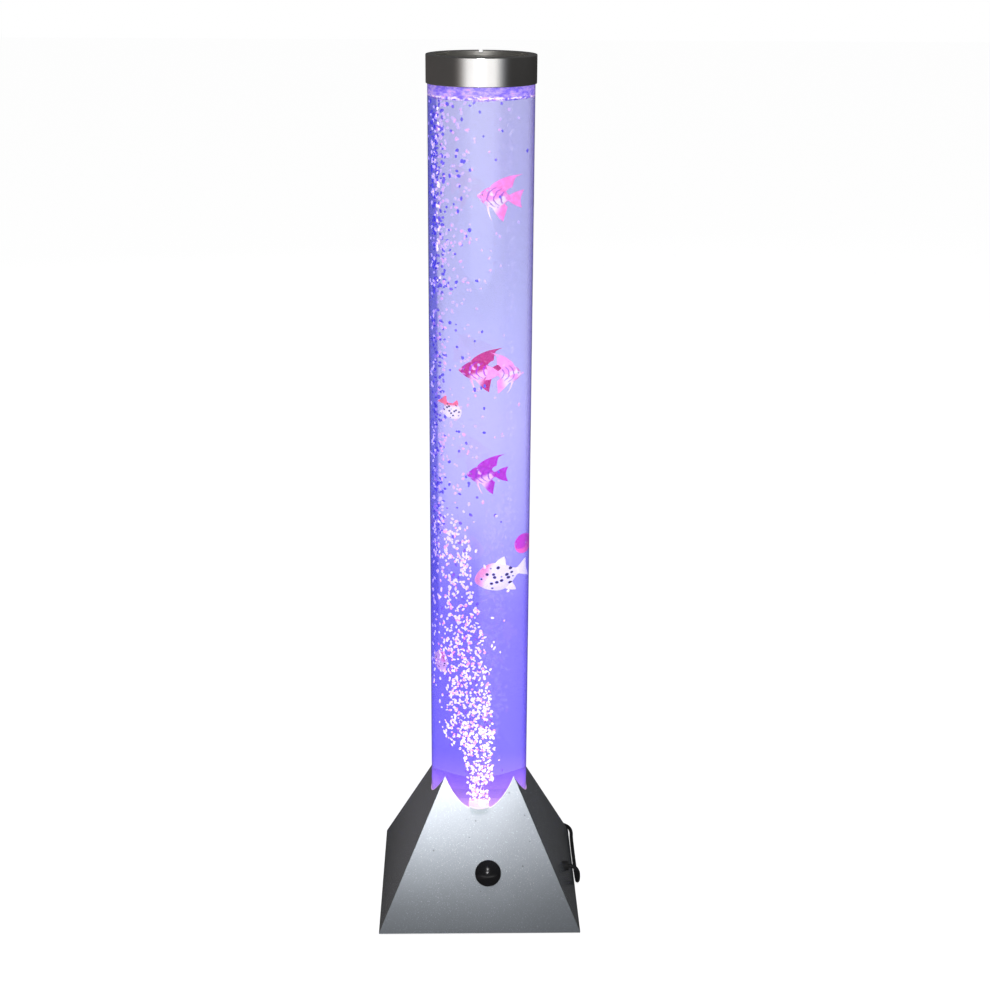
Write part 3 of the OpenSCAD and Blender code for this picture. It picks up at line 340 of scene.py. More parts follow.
def coil_point(turns):
    """A point of the coil, which winds in and out again and climbs a layer where it reverses."""
    inner = COIL_OUT - LAYER_TURNS * COIL_PITCH
    layer = min(int(turns / LAYER_TURNS), COIL_LAYERS)
    share = turns / LAYER_TURNS - layer
    start, end = (COIL_OUT, inner) if layer % 2 == 0 else (inner, COIL_OUT)
    radius = start + (end - start) * share
    height = COIL_Z
    for step in range(1, COIL_LAYERS):
        u = max(0.0, min(1.0, (turns - step * LAYER_TURNS + CLIMB_TURNS / 2) / CLIMB_TURNS))
        height += COIL_PITCH * u * u * (3 - 2 * u)
    angle = math.radians(-90 - 360 * turns)
    return COIL_CENTRE[0] + radius * math.cos(angle), COIL_CENTRE[1] + radius * math.sin(angle), height


def cord_line():
    """The middle line of the cord, in metres: its route, a lead into the coil, the coil and a lead out of it."""
    x, y = COIL_CENTRE[0], COIL_CENTRE[1] - COIL_OUT
    steps = round(COIL_LAYERS * LAYER_TURNS * TURN_STEPS)
    line = smooth_line(CORD_ROUTE, 4)[:-1] + [Vector((x + COIL_LEAD, y, COIL_Z))]
    line += [Vector(coil_point(i / TURN_STEPS)) for i in range(steps + 1)]
    line += [Vector((x - COIL_LEAD, y, COIL_Z + (COIL_LAYERS - 1) * COIL_PITCH))]
    return [p / 1000 for p in line]


def length_of(line):
    return sum((b - a).length for a, b in zip(line, line[1:]))


def cord_finish():
    f = Finish("cord_vinyl")
    grain = f.noise(1400, 2.0)
    wear = f.noise(60, 3.0).ramp(0.45, 0.7)
    return f.paint(Base_Color=f.mix(wear, (0.012, 0.012, 0.013), (0.022, 0.022, 0.024)),
                   Roughness=0.38 + 0.14 * grain, Normal=f.bump(grain, 0.00008))


def make_cord():
    line = cord_line()
    points, faces = tube_mesh(line, CORD_D / 2, 12)
    cord = piece("lead", points, faces, cord_finish(), "lamp")
    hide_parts("supply_cord", "cord_coil")
    round(length_of(line), 3)


make_cord()


# ---- Finishes of metal, plastic and rubber ----

# Where the light on the bore and the shade under the front notch begin and end, from the axis and from the middle
BORE_EDGE, LIP_EDGE, LIP_HALF = (0.0504, 0.0508), (0.0522, 0.0541), (0.0070, 0.0115)


def silver_paint():
    """Silver paint with its flakes, a few dark specks and faint clouding; painted shade under the front notch and
    towards the bottom, and a painted glow on the bore round the tube.
    """
    f = Finish("silver_paint")
    flake = f.noise(1300, 2.0, 0.7)
    speck = (f.cells(95.0) < 0.085) * (f.noise(41, 1.0) > 0.56)
    colour = f.mix(f.noise(26, 3.0), (0.28, 0.30, 0.33), (0.37, 0.40, 0.44))
    colour = f.mix(flake.ramp(0.30, 0.80) * 0.42, colour, (0.52, 0.56, 0.62))
    x, y, z = (f.along(axis) for axis in range(3))
    around = x * x + y * y
    # Painted shade: the pad under the front notch is painted darker, where shade falls under the notch.
    lip = (1 - x.maths("ABSOLUTE", x).ramp(*LIP_HALF)) * (y < 0.0) * (1 - around.ramp(*(r ** 2 for r in LIP_EDGE)))
    colour = f.mix(lip * 0.5, colour, (0.16, 0.19, 0.20))
    # Painted shade: the paint is darker towards the bottom on every side.
    colour = f.mix((1 - z.ramp(-0.01, 0.095)) * 0.62, colour, (0.10, 0.11, 0.12))
    colour = f.mix(speck * 0.75, colour, (0.08, 0.07, 0.08))
    # Painted glow: emission on the bore wall round the tube stands in for the lamps' light falling on it.
    bore = (1 - around.ramp(*(r ** 2 for r in BORE_EDGE))) * (z > 0.1)
    return f.paint(Base_Color=colour, Metallic=0.66, Roughness=0.24 + 0.05 * flake, Emission_Strength=0.45,
                   Emission_Color=f.mix(bore, (0.0, 0.0, 0.0), (1.0, 0.62, 1.0)))


def brushed(name, light, dark, rough=0.26, lines=(1.0, 1.0, 60.0)):
    """Metal brushed along the direction in which the stretch is least."""
    f = Finish(name)
    brush = f.noise(60, 4.0, 0.7, stretch=lines)
    colour = f.mix(f.noise(40, 2.0) * 0.25, f.mix(brush, dark, light), [0.7 * c for c in dark])
    return f.paint(Base_Color=colour, Metallic=1.0, Roughness=rough + 0.10 * brush, Normal=f.bump(brush, 0.00004, 0.5))


def moulded(name, light, dark, rough=0.4, grain=900, depth=0.00006):
    """Moulded plastic or rubber: a fine spark-eroded grain and a slow change of shade."""
    f = Finish(name)
    fine = f.noise(grain, 2.0)
    return f.paint(Base_Color=f.mix(f.noise(35, 3.0).ramp(0.3, 0.7), dark, light), Roughness=rough + 0.12 * fine,
                   Normal=f.bump(fine, depth))


def glossy_black():
    f = Finish("button_black")
    dust = f.noise(220, 4.0).ramp(0.62, 0.8)
    return f.paint(Base_Color=f.mix(dust, (0.006, 0.006, 0.007), (0.018, 0.018, 0.020)),
                   Roughness=0.17 + 0.06 * dust, Specular_IOR_Level=0.62)


def clear(name, tint, ior, rough, emission=(0.0, 0.0, 0.0), strength=0.0, haze=0.0):
    """A clear body that lets the lamps' light in: see-through to shadows, glass to everything else."""
    f = Finish(name)
    smear = f.noise(30, 3.0).ramp(0.5, 0.9)
    glass = f.surface(Base_Color=f.mix(smear * 0.15, tint, [0.92 * c for c in tint]), Roughness=rough + haze * smear,
                      IOR=ior, Transmission_Weight=1.0, Emission_Color=rgba(emission), Emission_Strength=strength)
    return f.lit_through(glass, [0.5 + 0.5 * c for c in tint])


def stone():
    f = Finish("air_stone")
    grain = f.cells(1500.0)
    return f.paint(Base_Color=f.mix(grain, (0.50, 0.56, 0.66), (0.20, 0.25, 0.36)), Roughness=0.95,
                   Normal=f.bump(grain, 0.0002))


def board_green():
    """Solder mask over copper tracks."""
    f = Finish("circuit_board")
    track = f.node("ShaderNodeTexBrick", {"offset": 0.5}, {
        "Vector": f.place, "Scale": 170.0, "Mortar Size": 0.03, "Color1": rgba((1, 1, 1)), "Color2": rgba((1, 1, 1)),
        "Mortar": rgba((0, 0, 0))}, out="Fac")
    weave = f.noise(1200, 1.0)
    colour = f.mix(track, f.mix(weave, (0.012, 0.10, 0.045), (0.02, 0.14, 0.06)), (0.05, 0.26, 0.11))
    return f.paint(Base_Color=colour, Roughness=0.3 + 0.1 * weave, Normal=f.bump(track, 0.00004))


def lamp_glow():
    f = Finish("lamp_lens")
    across = f.noise(700, 1.0)
    return f.paint(Base_Color=f.mix(across, (0.75, 0.72, 0.95), (0.92, 0.90, 1.0)), Roughness=0.2,
                   Emission_Color=f.mix(across, (0.30, 0.16, 1.0), (0.75, 0.45, 1.0)), Emission_Strength=6.0)


def striped(name, light, dark, scale, axis, rough, depth):
    """Fine even lines on metal, as on wound wire or stacked sheets."""
    f = Finish(name)
    line = f.node("ShaderNodeTexWave", {"wave_type": "BANDS", "bands_direction": axis}, {
        "Vector": f.place, "Scale": scale, "Distortion": 0.4, "Detail": 1.0}, out="Fac")
    return f.paint(Base_Color=f.mix(line, dark, light), Metallic=1.0, Roughness=rough, Normal=f.bump(line, depth))


def dress(material, names):
    """Puts a finish on CAD nodes."""
    for name in names.split():
        thing = NODES[name]
        if not thing.material_slots:
            thing.data.materials.append(material)
        for slot in thing.material_slots:
            slot.material = material


STEEL = ((0.72, 0.72, 0.70), (0.50, 0.50, 0.48), 0.3, (40.0, 40.0, 1.0))
dress(silver_paint(), "base_housing")
dress(moulded("plate_plastic", (0.035, 0.035, 0.037), (0.02, 0.02, 0.021), 0.55), "bottom_plate")
dress(moulded("foot_rubber", (0.03, 0.03, 0.03), (0.018, 0.018, 0.018), 0.8, depth=0.0001),
      "rubber_feet pump_feet pump_diaphragm nozzle_seal")
dress(brushed("zinc_screw", *STEEL),
      "base_screws cradle_screws light_board_screws board_screws holder_screws pump_lid_screws pump_pivot_pin")
dress(brushed("nickel_pin", (0.80, 0.78, 0.72), (0.62, 0.60, 0.55), 0.2, (1.0, 1.0, 30.0)), "adapter_pins")
dress(moulded("white_plastic", (0.72, 0.72, 0.74), (0.60, 0.60, 0.63), 0.45),
      "tube_cradle air_elbow nozzle_nut check_valve")
dress(moulded("pump_plastic", (0.30, 0.31, 0.33), (0.24, 0.25, 0.27), 0.5),
      "pump_case pump_lid pump_arm pump_valve_head")
dress(moulded("black_part", (0.03, 0.03, 0.032), (0.018, 0.018, 0.02), 0.42),
      "board_components push_switch button_holder cap_insert")
dress(moulded("adapter_plastic", (0.030, 0.030, 0.032), (0.018, 0.018, 0.019), 0.42, 2200, 0.00012), "adapter_body")
dress(moulded("gland_rubber", (0.022, 0.022, 0.023), (0.012, 0.012, 0.012), 0.6), "cord_gland")
dress(moulded("tie_plastic", (0.05, 0.05, 0.052), (0.03, 0.03, 0.03), 0.35), "cord_tie")
dress(moulded("magnet_black", (0.10, 0.10, 0.11), (0.06, 0.06, 0.065), 0.35, 3000), "pump_magnet")
dress(clear("clear_hose", (0.90, 0.95, 0.97), 1.41, 0.12, haze=0.1), "upper_air_hose lower_air_hose")
dress(board_green(), "control_board switch_board light_board")
dress(lamp_glow(), "lamps")
dress(stone(), "air_stone")
dress(striped("core_sheets", (0.42, 0.42, 0.44), (0.20, 0.20, 0.22), 260.0, "Z", 0.45, 0.00006), "pump_core")
dress(striped("copper_winding", (0.72, 0.30, 0.14), (0.30, 0.10, 0.04), 330.0, "X", 0.3, 0.0001), "pump_coil")
dress(moulded("wire_red", (0.42, 0.02, 0.02), (0.30, 0.012, 0.012), 0.38),
      "pump_wires light_wires switch_wires supply_wires")


# ---- Cap, button, nozzle ----

def rounded(outline, radius, steps=5):
    """An outline of (radius, height) whose inner corners are rounded."""
    points = [outline[0]]
    for a, b, c in zip(outline, outline[1:], outline[2:]):
        a, b, c = Vector(a), Vector(b), Vector(c)
        cut = min(radius, 0.49 * (a - b).length, 0.49 * (c - b).length)
        p, q = b + (a - b).normalized() * cut, b + (c - b).normalized() * cut
        points.append(tuple(p + (a - b).normalized() * 0.02 * cut))
        for k in range(steps + 1):
            t = k / steps
            points.append(tuple(p * (1 - t) ** 2 + 2 * b * t * (1 - t) + q * t * t))
        points.append(tuple(q + (c - b).normalized() * 0.02 * cut))
    return points + [outline[-1]]


def make_cap():
    """The brushed cap: skirt, rolled rim, sunk dish, and the vent notch at its back."""
    low, high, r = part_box("top_cap")[0].z, CAP_TOP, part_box("top_cap")[1].x
    skin, rim, dish = 0.0012, 0.008, 0.005
    dish_skin, notch_wide, notch_deep = 0.0015, 0.0035, 0.0024
    section = [(0, high - dish - dish_skin), (r - skin, high - dish - dish_skin), (r - skin, low), (r, low), (r, high),
               (r - rim, high), (r - rim, high - dish), (0, high - dish)]
    points, faces = turned(rounded(section, 0.0009), 256)
    metal = brushed("cap_metal", (1.0, 0.99, 0.98), (0.94, 0.92, 0.90), 0.12)
    cap = piece("cap_shell", points, faces, metal, None)
    work = bmesh.new()
    bmesh.ops.create_cube(work, size=1.0, matrix=Matrix.Translation((0, r - rim / 2, high)) @ Matrix.Diagonal(
        (notch_wide, rim + 0.006, 2 * notch_deep, 1.0)))
    cutter = placed("notch", bpy.data.meshes.new("notch"))
    work.to_mesh(cutter.data)
    work.free()
    cut = cap.modifiers.new("notch", "BOOLEAN")
    cut.object, cut.operation, cut.solver = cutter, "DIFFERENCE", "EXACT"
    plain(cap)
    bpy.data.objects.remove(cutter)
    cap.data.materials.append(brushed("cap_dish", (0.92, 0.90, 0.86), (0.70, 0.68, 0.64), 0.40, (60.0, 1.0, 1.0)))
    for face in cap.data.polygons:
        if face.center.to_2d().length < r - rim + 0.0004 and face.normal.z > -0.5:
            face.material_index = 1
    crisp(cap, 35)
    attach(cap, "cap")
    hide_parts("top_cap")


def make_button():
    """The domed button with its flange, turned about its own axis and set square to the face it sits in."""
    r, proud, dome = 0.0132, 0.0018, 0.0045
    hollow, flange, roof, foot, shoulder = r - 0.0016, r + 0.0018, -0.001, -0.0049, -0.0028
    ball_r = (r * r + dome * dome) / (2 * dome)
    arc = [(ball_r * math.sin(a), proud + dome - ball_r + ball_r * math.cos(a))
           for a in [math.asin((r - 0.0004) / ball_r) * (1 - k / 24) for k in range(25)]]
    section = [(0, roof), (hollow, roof), (hollow, foot), (flange, foot), (flange, shoulder), (r, shoulder),
               (r, proud - 0.0003), (r - 0.0001, proud - 0.0001)] + arc
    section[-1] = (0, section[-1][1])
    points, faces = turned(section, 96)
    out = BUTTON_OUT
    upright = Matrix(((1, 0, 0), (0, out.z, out.y), (0, -out.y, out.z)))
    points = [BUTTON + upright @ Vector(p) for p in points]
    button = piece("button_dome", points, faces, glossy_black(), "button")
    crisp(button, 40)
    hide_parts("button_cap")


def make_spring():
    """The coil spring behind the button, at a single length, riding on the lamp."""
    turns, steps, r, wire, low, high, seat = 6, 24, 0.0054, 0.00045, -0.0134, -0.0016, 0.0006
    out = BUTTON_OUT
    line = []
    for i in range(turns * steps + 1):
        angle = math.tau * i / steps
        line.append(BUTTON + Vector((r * math.cos(angle), 0, 0)) + BUTTON_UP * (r * math.sin(angle))
                    + out * (low + (high - low) * i / (turns * steps)))
    points, faces = tube_mesh(line, wire, 8)
    spring = piece("return_spring", points, faces, brushed("spring_steel", *STEEL), "lamp")
    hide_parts("button_spring")
    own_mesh(spring)


def nozzle_finish():
    f = Finish("nozzle_plastic")
    fine = f.noise(420, 2.0)
    # The emission is a painted glow that stands in for the lamps' light in the milky plastic.
    return f.paint(Base_Color=f.mix(fine, (0.86, 0.80, 0.95), (0.95, 0.88, 0.98)), Roughness=0.25,
                   Transmission_Weight=0.35, Emission_Color=f.mix(fine, (0.75, 0.40, 1.0), (1.0, 0.62, 0.95)),
                   Emission_Strength=1.8, Normal=f.bump(fine, 0.00005))


def make_nozzle():
    """The milky cup in the middle of the floor, with a rolled lip and its stem below the floor."""
    base, foot, bore, stem, flange, wall = FLOOR_TOP + 0.0015, 0.060, 0.0015, 0.004, 0.009, 0.0015
    section = [(bore, foot), (stem, foot), (stem, base), (flange, base), (flange, base + 0.002),
               (CUP_R, base + 0.002), (CUP_R, CUP_TOP), (CUP_R - wall, CUP_TOP), (CUP_R - wall, base + 0.0045),
               (bore, base + 0.0045), (bore, foot)]
    points, faces = turned(rounded(section, 0.0005, 3), 64)
    cup = piece("nozzle_cup", points, faces, nozzle_finish(), "lamp")
    seal(cup)
    crisp(cup, 50)
    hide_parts("air_nozzle")


make_cap()
make_button()
make_spring()
make_nozzle()


# ---- Tube, its floor and the glowing water ----

# The colour of the lamps' light painted into the water, from the bottom to the top, by the share of the way up
WATER_LIGHT_TINTS = [(0.00, (0.19, 0.16, 0.90)), (0.30, (0.25, 0.21, 0.90)), (0.42, (0.42, 0.40, 0.92)),
               (0.54, (0.50, 0.48, 0.90)), (0.70, (0.46, 0.47, 0.78)), (0.95, (0.45, 0.45, 0.68))]


def water_finish():
    """Painted light of the lamps below: violet at the bottom, pale lavender at the top, painted deep-blue shade down
    the left and along the right edge, and a painted glow.
    """
    f = Finish("lit_water")
    x, z = f.along(0), f.along(2)
    tint = f.node("ShaderNodeValToRGB", sockets={0: (z - 0.08) / 0.80})
    ramp = tint.socket.node.color_ramp
    while len(ramp.elements) < len(WATER_LIGHT_TINTS):
        ramp.elements.new(0.5)
    for element, (position, colour) in zip(ramp.elements, WATER_LIGHT_TINTS):
        element.position, element.color = position, rgba(colour)
    cloud = f.noise(18, 3.0, 0.6, stretch=(1.0, 1.0, 0.35))
    tint = f.mix((cloud - 0.5) * 0.5, tint, (0.50, 0.36, 0.95))
    # Painted light and shade: the lower left half is a deeper blue, a darker band runs near the left wall, and painted
    # deep-blue shade runs down the left edge and along the right edge.
    tint = f.mix((1 - x.ramp(-0.003, 0.003)) * (1 - z.ramp(0.34, 0.44)) * 0.5, tint, (0.11, 0.08, 0.74))
    tint = f.mix((1 - x.ramp(-0.039, -0.031)) * z.ramp(0.28, 0.42) * 0.45, tint, (0.20, 0.17, 0.40))
    tint = f.mix((1 - x.ramp(-0.0410, -0.0385)) * z.ramp(0.22, 0.38) * 0.88, tint, (0.012, 0.008, 0.46))
    tint = f.mix(x.ramp(0.041, 0.047) * 0.7, tint, (0.06, 0.04, 0.50))
    # Painted glow: emission that stands in for the lamps' light, pink-violet low down and faint higher up.
    glow = f.mix(z.ramp(0.105, 0.150), (0.80, 0.42, 0.50), (0.04, 0.02, 0.24))
    glow = f.mix(z.ramp(0.15, 0.60), glow, (0.02, 0.016, 0.08))
    water = f.surface(Base_Color=tint, Roughness=0.0, IOR=WATER_IOR, Transmission_Weight=1.0,
                      Emission_Color=glow, Emission_Strength=0.50)
    return f.lit_through(water, (0.80, 0.78, 0.96))


def make_tube():
    """The clear tube and the water in it."""
    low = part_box("tube")[0].z
    acrylic = clear("tube_acrylic", (0.97, 0.97, 0.995), 1.49, 0.0)
    section = [(TUBE_IN, low), (TUBE_R, low), (TUBE_R, TUBE_TOP), (TUBE_IN, TUBE_TOP), (TUBE_IN, low)]
    points, faces = turned(section, 360)
    tube = piece("tube_wall", points, faces, acrylic, None)
    seal(tube)
    crisp(tube, 30)
    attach(tube, "lamp")
    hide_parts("tube")

    section = [(0, FLOOR_TOP - 0.0001), (WET, FLOOR_TOP - 0.0001)]
    section += [(WET, FLOOR_TOP + (WATER_TOP - FLOOR_TOP) * k / 24) for k in range(1, 25)]
    section += [(0, WATER_TOP)]
    points, faces = turned(section, 360)
    water = piece("water", points, faces, water_finish(), "lamp")
    crisp(water, 50)


# The floor's emission is a painted glow that stands in for the lamps' light below it.
dress(clear("floor_acrylic", (0.80, 0.76, 0.97), 1.40, 0.22, (0.55, 0.38, 1.0), 0.45, 0.2), "tube_floor")
make_tube()


# ---- Toy fish. Each is made along X in body lengths, nose forward, then put in its place. ----

ANGEL_BODY = [(0.5, 0.03, 0.03), (0.42, 0.13, 0.08), (0.27, 0.30, 0.14), (0.06, 0.42, 0.18), (-0.14, 0.42, 0.16),
              (-0.31, 0.29, 0.11), (-0.43, 0.14, 0.06), (-0.52, 0.10, 0.03)]
PUFFER_BODY = [(0.5, 0.05, 0.05), (0.42, 0.14, 0.13), (0.28, 0.23, 0.2), (0.08, 0.29, 0.24), (-0.12, 0.27, 0.21),
               (-0.3, 0.17, 0.12), (-0.42, 0.09, 0.06), (-0.5, 0.07, 0.04)]
# Fins, each a fan of rays from the body out to the edge, of (along, up) points
ANGEL_TOP = [[(0.22, 0.26), (0.02, 0.58), (-0.34, 0.84), (-0.80, 0.97)],
             [(0.04, 0.30), (-0.14, 0.57), (-0.38, 0.75), (-0.60, 0.83)],
             [(-0.12, 0.28), (-0.26, 0.49), (-0.42, 0.61), (-0.55, 0.66)],
             [(-0.32, 0.16), (-0.38, 0.30), (-0.45, 0.38), (-0.52, 0.42)]]
ANGEL_LOW = [[(0.10, -0.28), (-0.10, -0.60), (-0.26, -0.83), (-0.40, -0.96)],
             [(-0.06, -0.30), (-0.22, -0.56), (-0.34, -0.72), (-0.41, -0.80)],
             [(-0.18, -0.26), (-0.30, -0.44), (-0.38, -0.54), (-0.44, -0.58)],
             [(-0.32, -0.16), (-0.38, -0.26), (-0.43, -0.33), (-0.47, -0.36)]]
ANGEL_TAIL = [[(-0.44, 0.09), (-0.60, 0.22), (-0.76, 0.31), (-0.92, 0.36)],
              [(-0.44, 0.05), (-0.60, 0.11), (-0.75, 0.16), (-0.87, 0.19)],
              [(-0.44, 0.0), (-0.60, 0.0), (-0.73, 0.0), (-0.84, 0.0)]]
ANGEL_FEELER = [[(0.20, -0.24), (0.13, -0.55), (0.05, -0.78), (-0.04, -0.94)],
                [(0.12, -0.26), (0.07, -0.55), (0.02, -0.76), (-0.05, -0.93)]]
PUFFER_TOP = [[(0.02, 0.24), (-0.12, 0.36), (-0.22, 0.40), (-0.30, 0.42)],
              [(-0.10, 0.22), (-0.19, 0.30), (-0.25, 0.34), (-0.30, 0.36)],
              [(-0.24, 0.14), (-0.27, 0.20), (-0.28, 0.26), (-0.29, 0.29)]]
PUFFER_TAIL = [[(-0.44, 0.05), (-0.58, 0.12), (-0.70, 0.18), (-0.82, 0.23)],
               [(-0.44, 0.02), (-0.58, 0.05), (-0.69, 0.08), (-0.79, 0.10)],
               [(-0.44, 0.0), (-0.58, 0.0), (-0.68, 0.0), (-0.77, 0.0)]]
SIDE_FIN = [[(0.0, 0.05), (-0.08, 0.11), (-0.15, 0.13), (-0.20, 0.10)],
            [(0.0, 0.0), (-0.09, 0.02), (-0.17, 0.02), (-0.24, 0.0)],
            [(0.0, -0.04), (-0.08, -0.09), (-0.15, -0.10), (-0.22, -0.08)]]
def below(rays):
    """The same rays on the fish's lower side, from the middle outward."""
    return [[(x, -z) for x, z in ray] for ray in reversed(rays)]


def skin(stations, tall, wide, sides=28):
    """A closed body lofted through its cross-sections."""
    line = smooth_line([Vector(s) for s in stations], 5)
    points = [(line[0].x + 0.012, 0.0, 0.0)]
    for x, high, half in line:
        points += [(x, half * wide * math.sin(math.tau * k / sides), high * tall * math.cos(math.tau * k / sides))
                   for k in range(sides)]
    points.append((line[-1].x - 0.012, 0.0, 0.0))
    faces = [(0, 1 + k, 1 + (k + 1) % sides) for k in range(sides)]
    for i in range(len(line) - 1):
        a, b = 1 + i * sides, 1 + (i + 1) * sides
        faces += [(a + k, b + k, b + (k + 1) % sides, a + (k + 1) % sides) for k in range(sides)]
    last = 1 + (len(line) - 1) * sides
    faces += [(last + k, len(points) - 1, last + (k + 1) % sides) for k in range(sides)]
    return points, faces


def fan(rays, tall, thick, across=5, along=5):
    """A fin: a thin closed sheet over its rays, ribbed along them and thinning towards its edge."""
    rays = [smooth_line([Vector((x, z * tall, 0)) for x, z in ray], along) for ray in rays]
    rows = [smooth_line(list(row), across) for row in zip(*rays)]
    count, width = len(rows), len(rows[0])
    points, faces = [], []
    for side in (1, -1):
        for i, row in enumerate(rows):
            for j, p in enumerate(row):
                edge = min(1.0, 3.0 * min(j, width - 1 - j) / width + 0.25)
                rib = 0.72 + 0.28 * math.cos(math.tau * j / across)
                h = thick * (1 - 0.7 * i / (count - 1)) * edge * rib
                points.append((p.x, side * h, p.y))
    half = count * width
    for i in range(count - 1):
        for j in range(width - 1):
            a = i * width + j
            faces.append((a, a + 1, a + width + 1, a + width))
            faces.append((half + a, half + a + width, half + a + width + 1, half + a + 1))
    ring = [*range(width)] + [i * width + width - 1 for i in range(1, count)]
    ring += [(count - 1) * width + j for j in range(width - 2, -1, -1)] + [i * width for i in range(count - 2, 0, -1)]
    for a, b in zip(ring, ring[1:] + ring[:1]):
        faces.append((a, half + a, half + b, b))
    return points, faces


def ball(centre, r, flat, steps=20):
    """A small eye, flattened sideways."""
    outline = [(r * math.sin(math.pi * k / 8), r * math.cos(math.pi * k / 8)) for k in range(9)]
    outline[0], outline[-1] = (0, r), (0, -r)
    points, faces = turned(outline, steps)
    return [(centre[0] + x, centre[1] + z * flat, centre[2] + y) for x, y, z in points], faces


def swim(at, dip, turn, length):
    """Where a fish is: its place, how far its nose dips and the way it faces."""
    place = Matrix.Translation(Vector(at) / 1000)
    return (place @ Matrix.Rotation(math.radians(turn), 4, "Z") @ Matrix.Rotation(math.radians(dip), 4, "Y")
            @ Matrix.Scale(length / 1000, 4))


class FishFinish(Finish):
    """A fish's finish, worked out in the fish's own lengths from its own middle."""

    def __init__(self, name, at, dip, turn, length):
        super().__init__(name)
        self.place = self.node("ShaderNodeMapping", {"vector_type": "TEXTURE"}, {
            "Vector": self.place, "Location": [c / 1000 for c in at],
            "Rotation": (0.0, math.radians(dip), math.radians(turn)), "Scale": [length / 1000] * 3})


def angel_finish(name, main, pale, line, *where):
    """Soft colour with a pale belly and dark curved lines, thin fins with coloured rays."""
    f = FishFinish(name, *where)
    x, z = f.along(0), f.along(2)
    belly = (z * -1.0 - x * 0.5).ramp(-0.02, 0.22) * (x + z * 0.3).ramp(-0.45, -0.2) * (1 - x.ramp(0.05, 0.3))
    wobble = f.noise(5.0, 2.0)
    curve = x + z * z * 1.6 + wobble * 0.14
    bands = f.node("ShaderNodeMath", {"operation": "SINE"}, {0: curve * 30.0}).ramp(0.55, 0.9)
    bands = bands * (x * x + z * z).ramp(0.20, 0.10)
    patch = f.noise(3.2, 1.0).ramp(0.56, 0.64) * (x * x + z * z).ramp(0.30, 0.12)
    colour = f.mix(f.noise(7.0, 3.0).ramp(0.35, 0.7), main, [min(1.0, 1.25 * c + 0.02) for c in main])
    colour = f.mix(belly.maths("MAXIMUM", belly, patch), colour, pale)
    colour = f.mix(bands * 0.8, colour, line)
    # The emission is a painted glow that stands in for the lamps' light on the toy.
    return f.paint(Base_Color=colour, Roughness=0.32, Specular_IOR_Level=0.2, Emission_Color=colour,
                   Emission_Strength=0.85, Normal=f.bump(f.noise(40.0, 2.0), 0.0001))


def puffer_finish(name, main, patch, dot, spots, nose, side, *where):
    """White with rows of dark dots, which reach as far as the nose given, and a coloured patch at its side's end."""
    f = FishFinish(name, *where)
    x, y, z = (f.along(axis) for axis in range(3))
    flat = f.node("ShaderNodeCombineXYZ", sockets={0: x, 1: y * (0.8 if nose > 0.4 else 0.0), 2: z})
    cell = f.cells(spots, flat, 0.45)
    dots = (1 - cell.ramp(0.28, 0.36)) * (1 - x.ramp(nose - 0.04, nose + 0.04)) * x.ramp(-0.46, -0.40)
    dots = dots * (1 - z.ramp(0.31, 0.35)) * z.ramp(-0.33, -0.29)
    head = (x * (1.2 * side) + z * 0.9 + f.noise(5.0, 2.0) * 0.25).ramp(nose + 0.12, nose + 0.36)
    colour = f.mix(f.noise(6.0, 3.0) * 0.3, main, [c * k for c, k in zip(main, (0.88, 0.74, 1.0))])
    colour = f.mix(head * 0.8, colour, patch)
    colour = f.mix(dots, colour, dot)
    # The emission is a painted glow that stands in for the lamps' light on the toy.
    return f.paint(Base_Color=colour, Roughness=0.3, Specular_IOR_Level=0.2, Emission_Color=colour,
                   Emission_Strength=1.15, Normal=f.bump(f.noise(40.0, 2.0), 0.0001))


def eye_finish(name, dark, light, **more):
    f = Finish(name)
    return f.paint(Base_Color=f.mix(f.noise(800, 1.0), dark, light), **more)


# How far forward and up the eyes sit, and the radii of the ring and of the pupil, which stands proud of it
EYE_X, PUPIL_X, EYE_Z, RING_R, PUPIL_R, PUPIL_OUT, EYE_FLAT = 0.335, 0.340, 0.055, 0.048, 0.028, 0.020, 0.75


def make_fish(node, materials, stations, fins, eye_out, tall, wide, where):
    """One fish: its lofted body, ribbed fins, side fins and eyes, joined in one piece."""
    place, thick = swim(*where), 0.42 / where[-1]
    finish, ring, eyes = materials
    parts = [(skin(stations, tall, wide), finish)]
    parts += [(fan(rays, min(tall, 1.25), thick), finish) for rays in fins]
    for side in (1, -1):
        points, faces = fan(SIDE_FIN, 1.0, thick * 0.9)
        spread = Matrix.Translation((0.16, side * 0.12 * wide, -0.05))
        spread @= Matrix.Rotation(-side * math.radians(30), 4, "Z")
        out = eye_out * wide
        parts += [(([spread @ Vector(p) for p in points], faces), finish),
                  (ball((EYE_X, side * out, EYE_Z * tall), RING_R, EYE_FLAT), ring),
                  (ball((PUPIL_X, side * (out + PUPIL_OUT), EYE_Z * tall), PUPIL_R, EYE_FLAT), eyes)]
    work = bmesh.new()
    for (points, faces), material in parts:
        made = [work.verts.new(place @ Vector(p)) for p in points]
        for face in faces:
            new = work.faces.new([made[i] for i in face])
            new.material_index, new.smooth = materials.index(material), True
    bmesh.ops.recalc_face_normals(work, faces=work.faces)
    toy = placed(node + "_toy", bpy.data.meshes.new(node + "_toy"))
    work.to_mesh(toy.data)
    work.free()
    for material in materials:
        toy.data.materials.append(material)
    crisp(toy, 60)
    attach(toy, node + "_body")
    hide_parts(node)
    return toy


# What a kind of fish is made of: its body, its fins, how far out its eyes are, and its paint
ANGEL = (ANGEL_BODY, [ANGEL_TOP, ANGEL_LOW, ANGEL_TAIL + below(ANGEL_TAIL[:-1]), ANGEL_FEELER], 0.078, angel_finish)
PUFFER = (PUFFER_BODY, [PUFFER_TOP, below(PUFFER_TOP), PUFFER_TAIL + below(PUFFER_TAIL[:-1])], 0.150, puffer_finish)
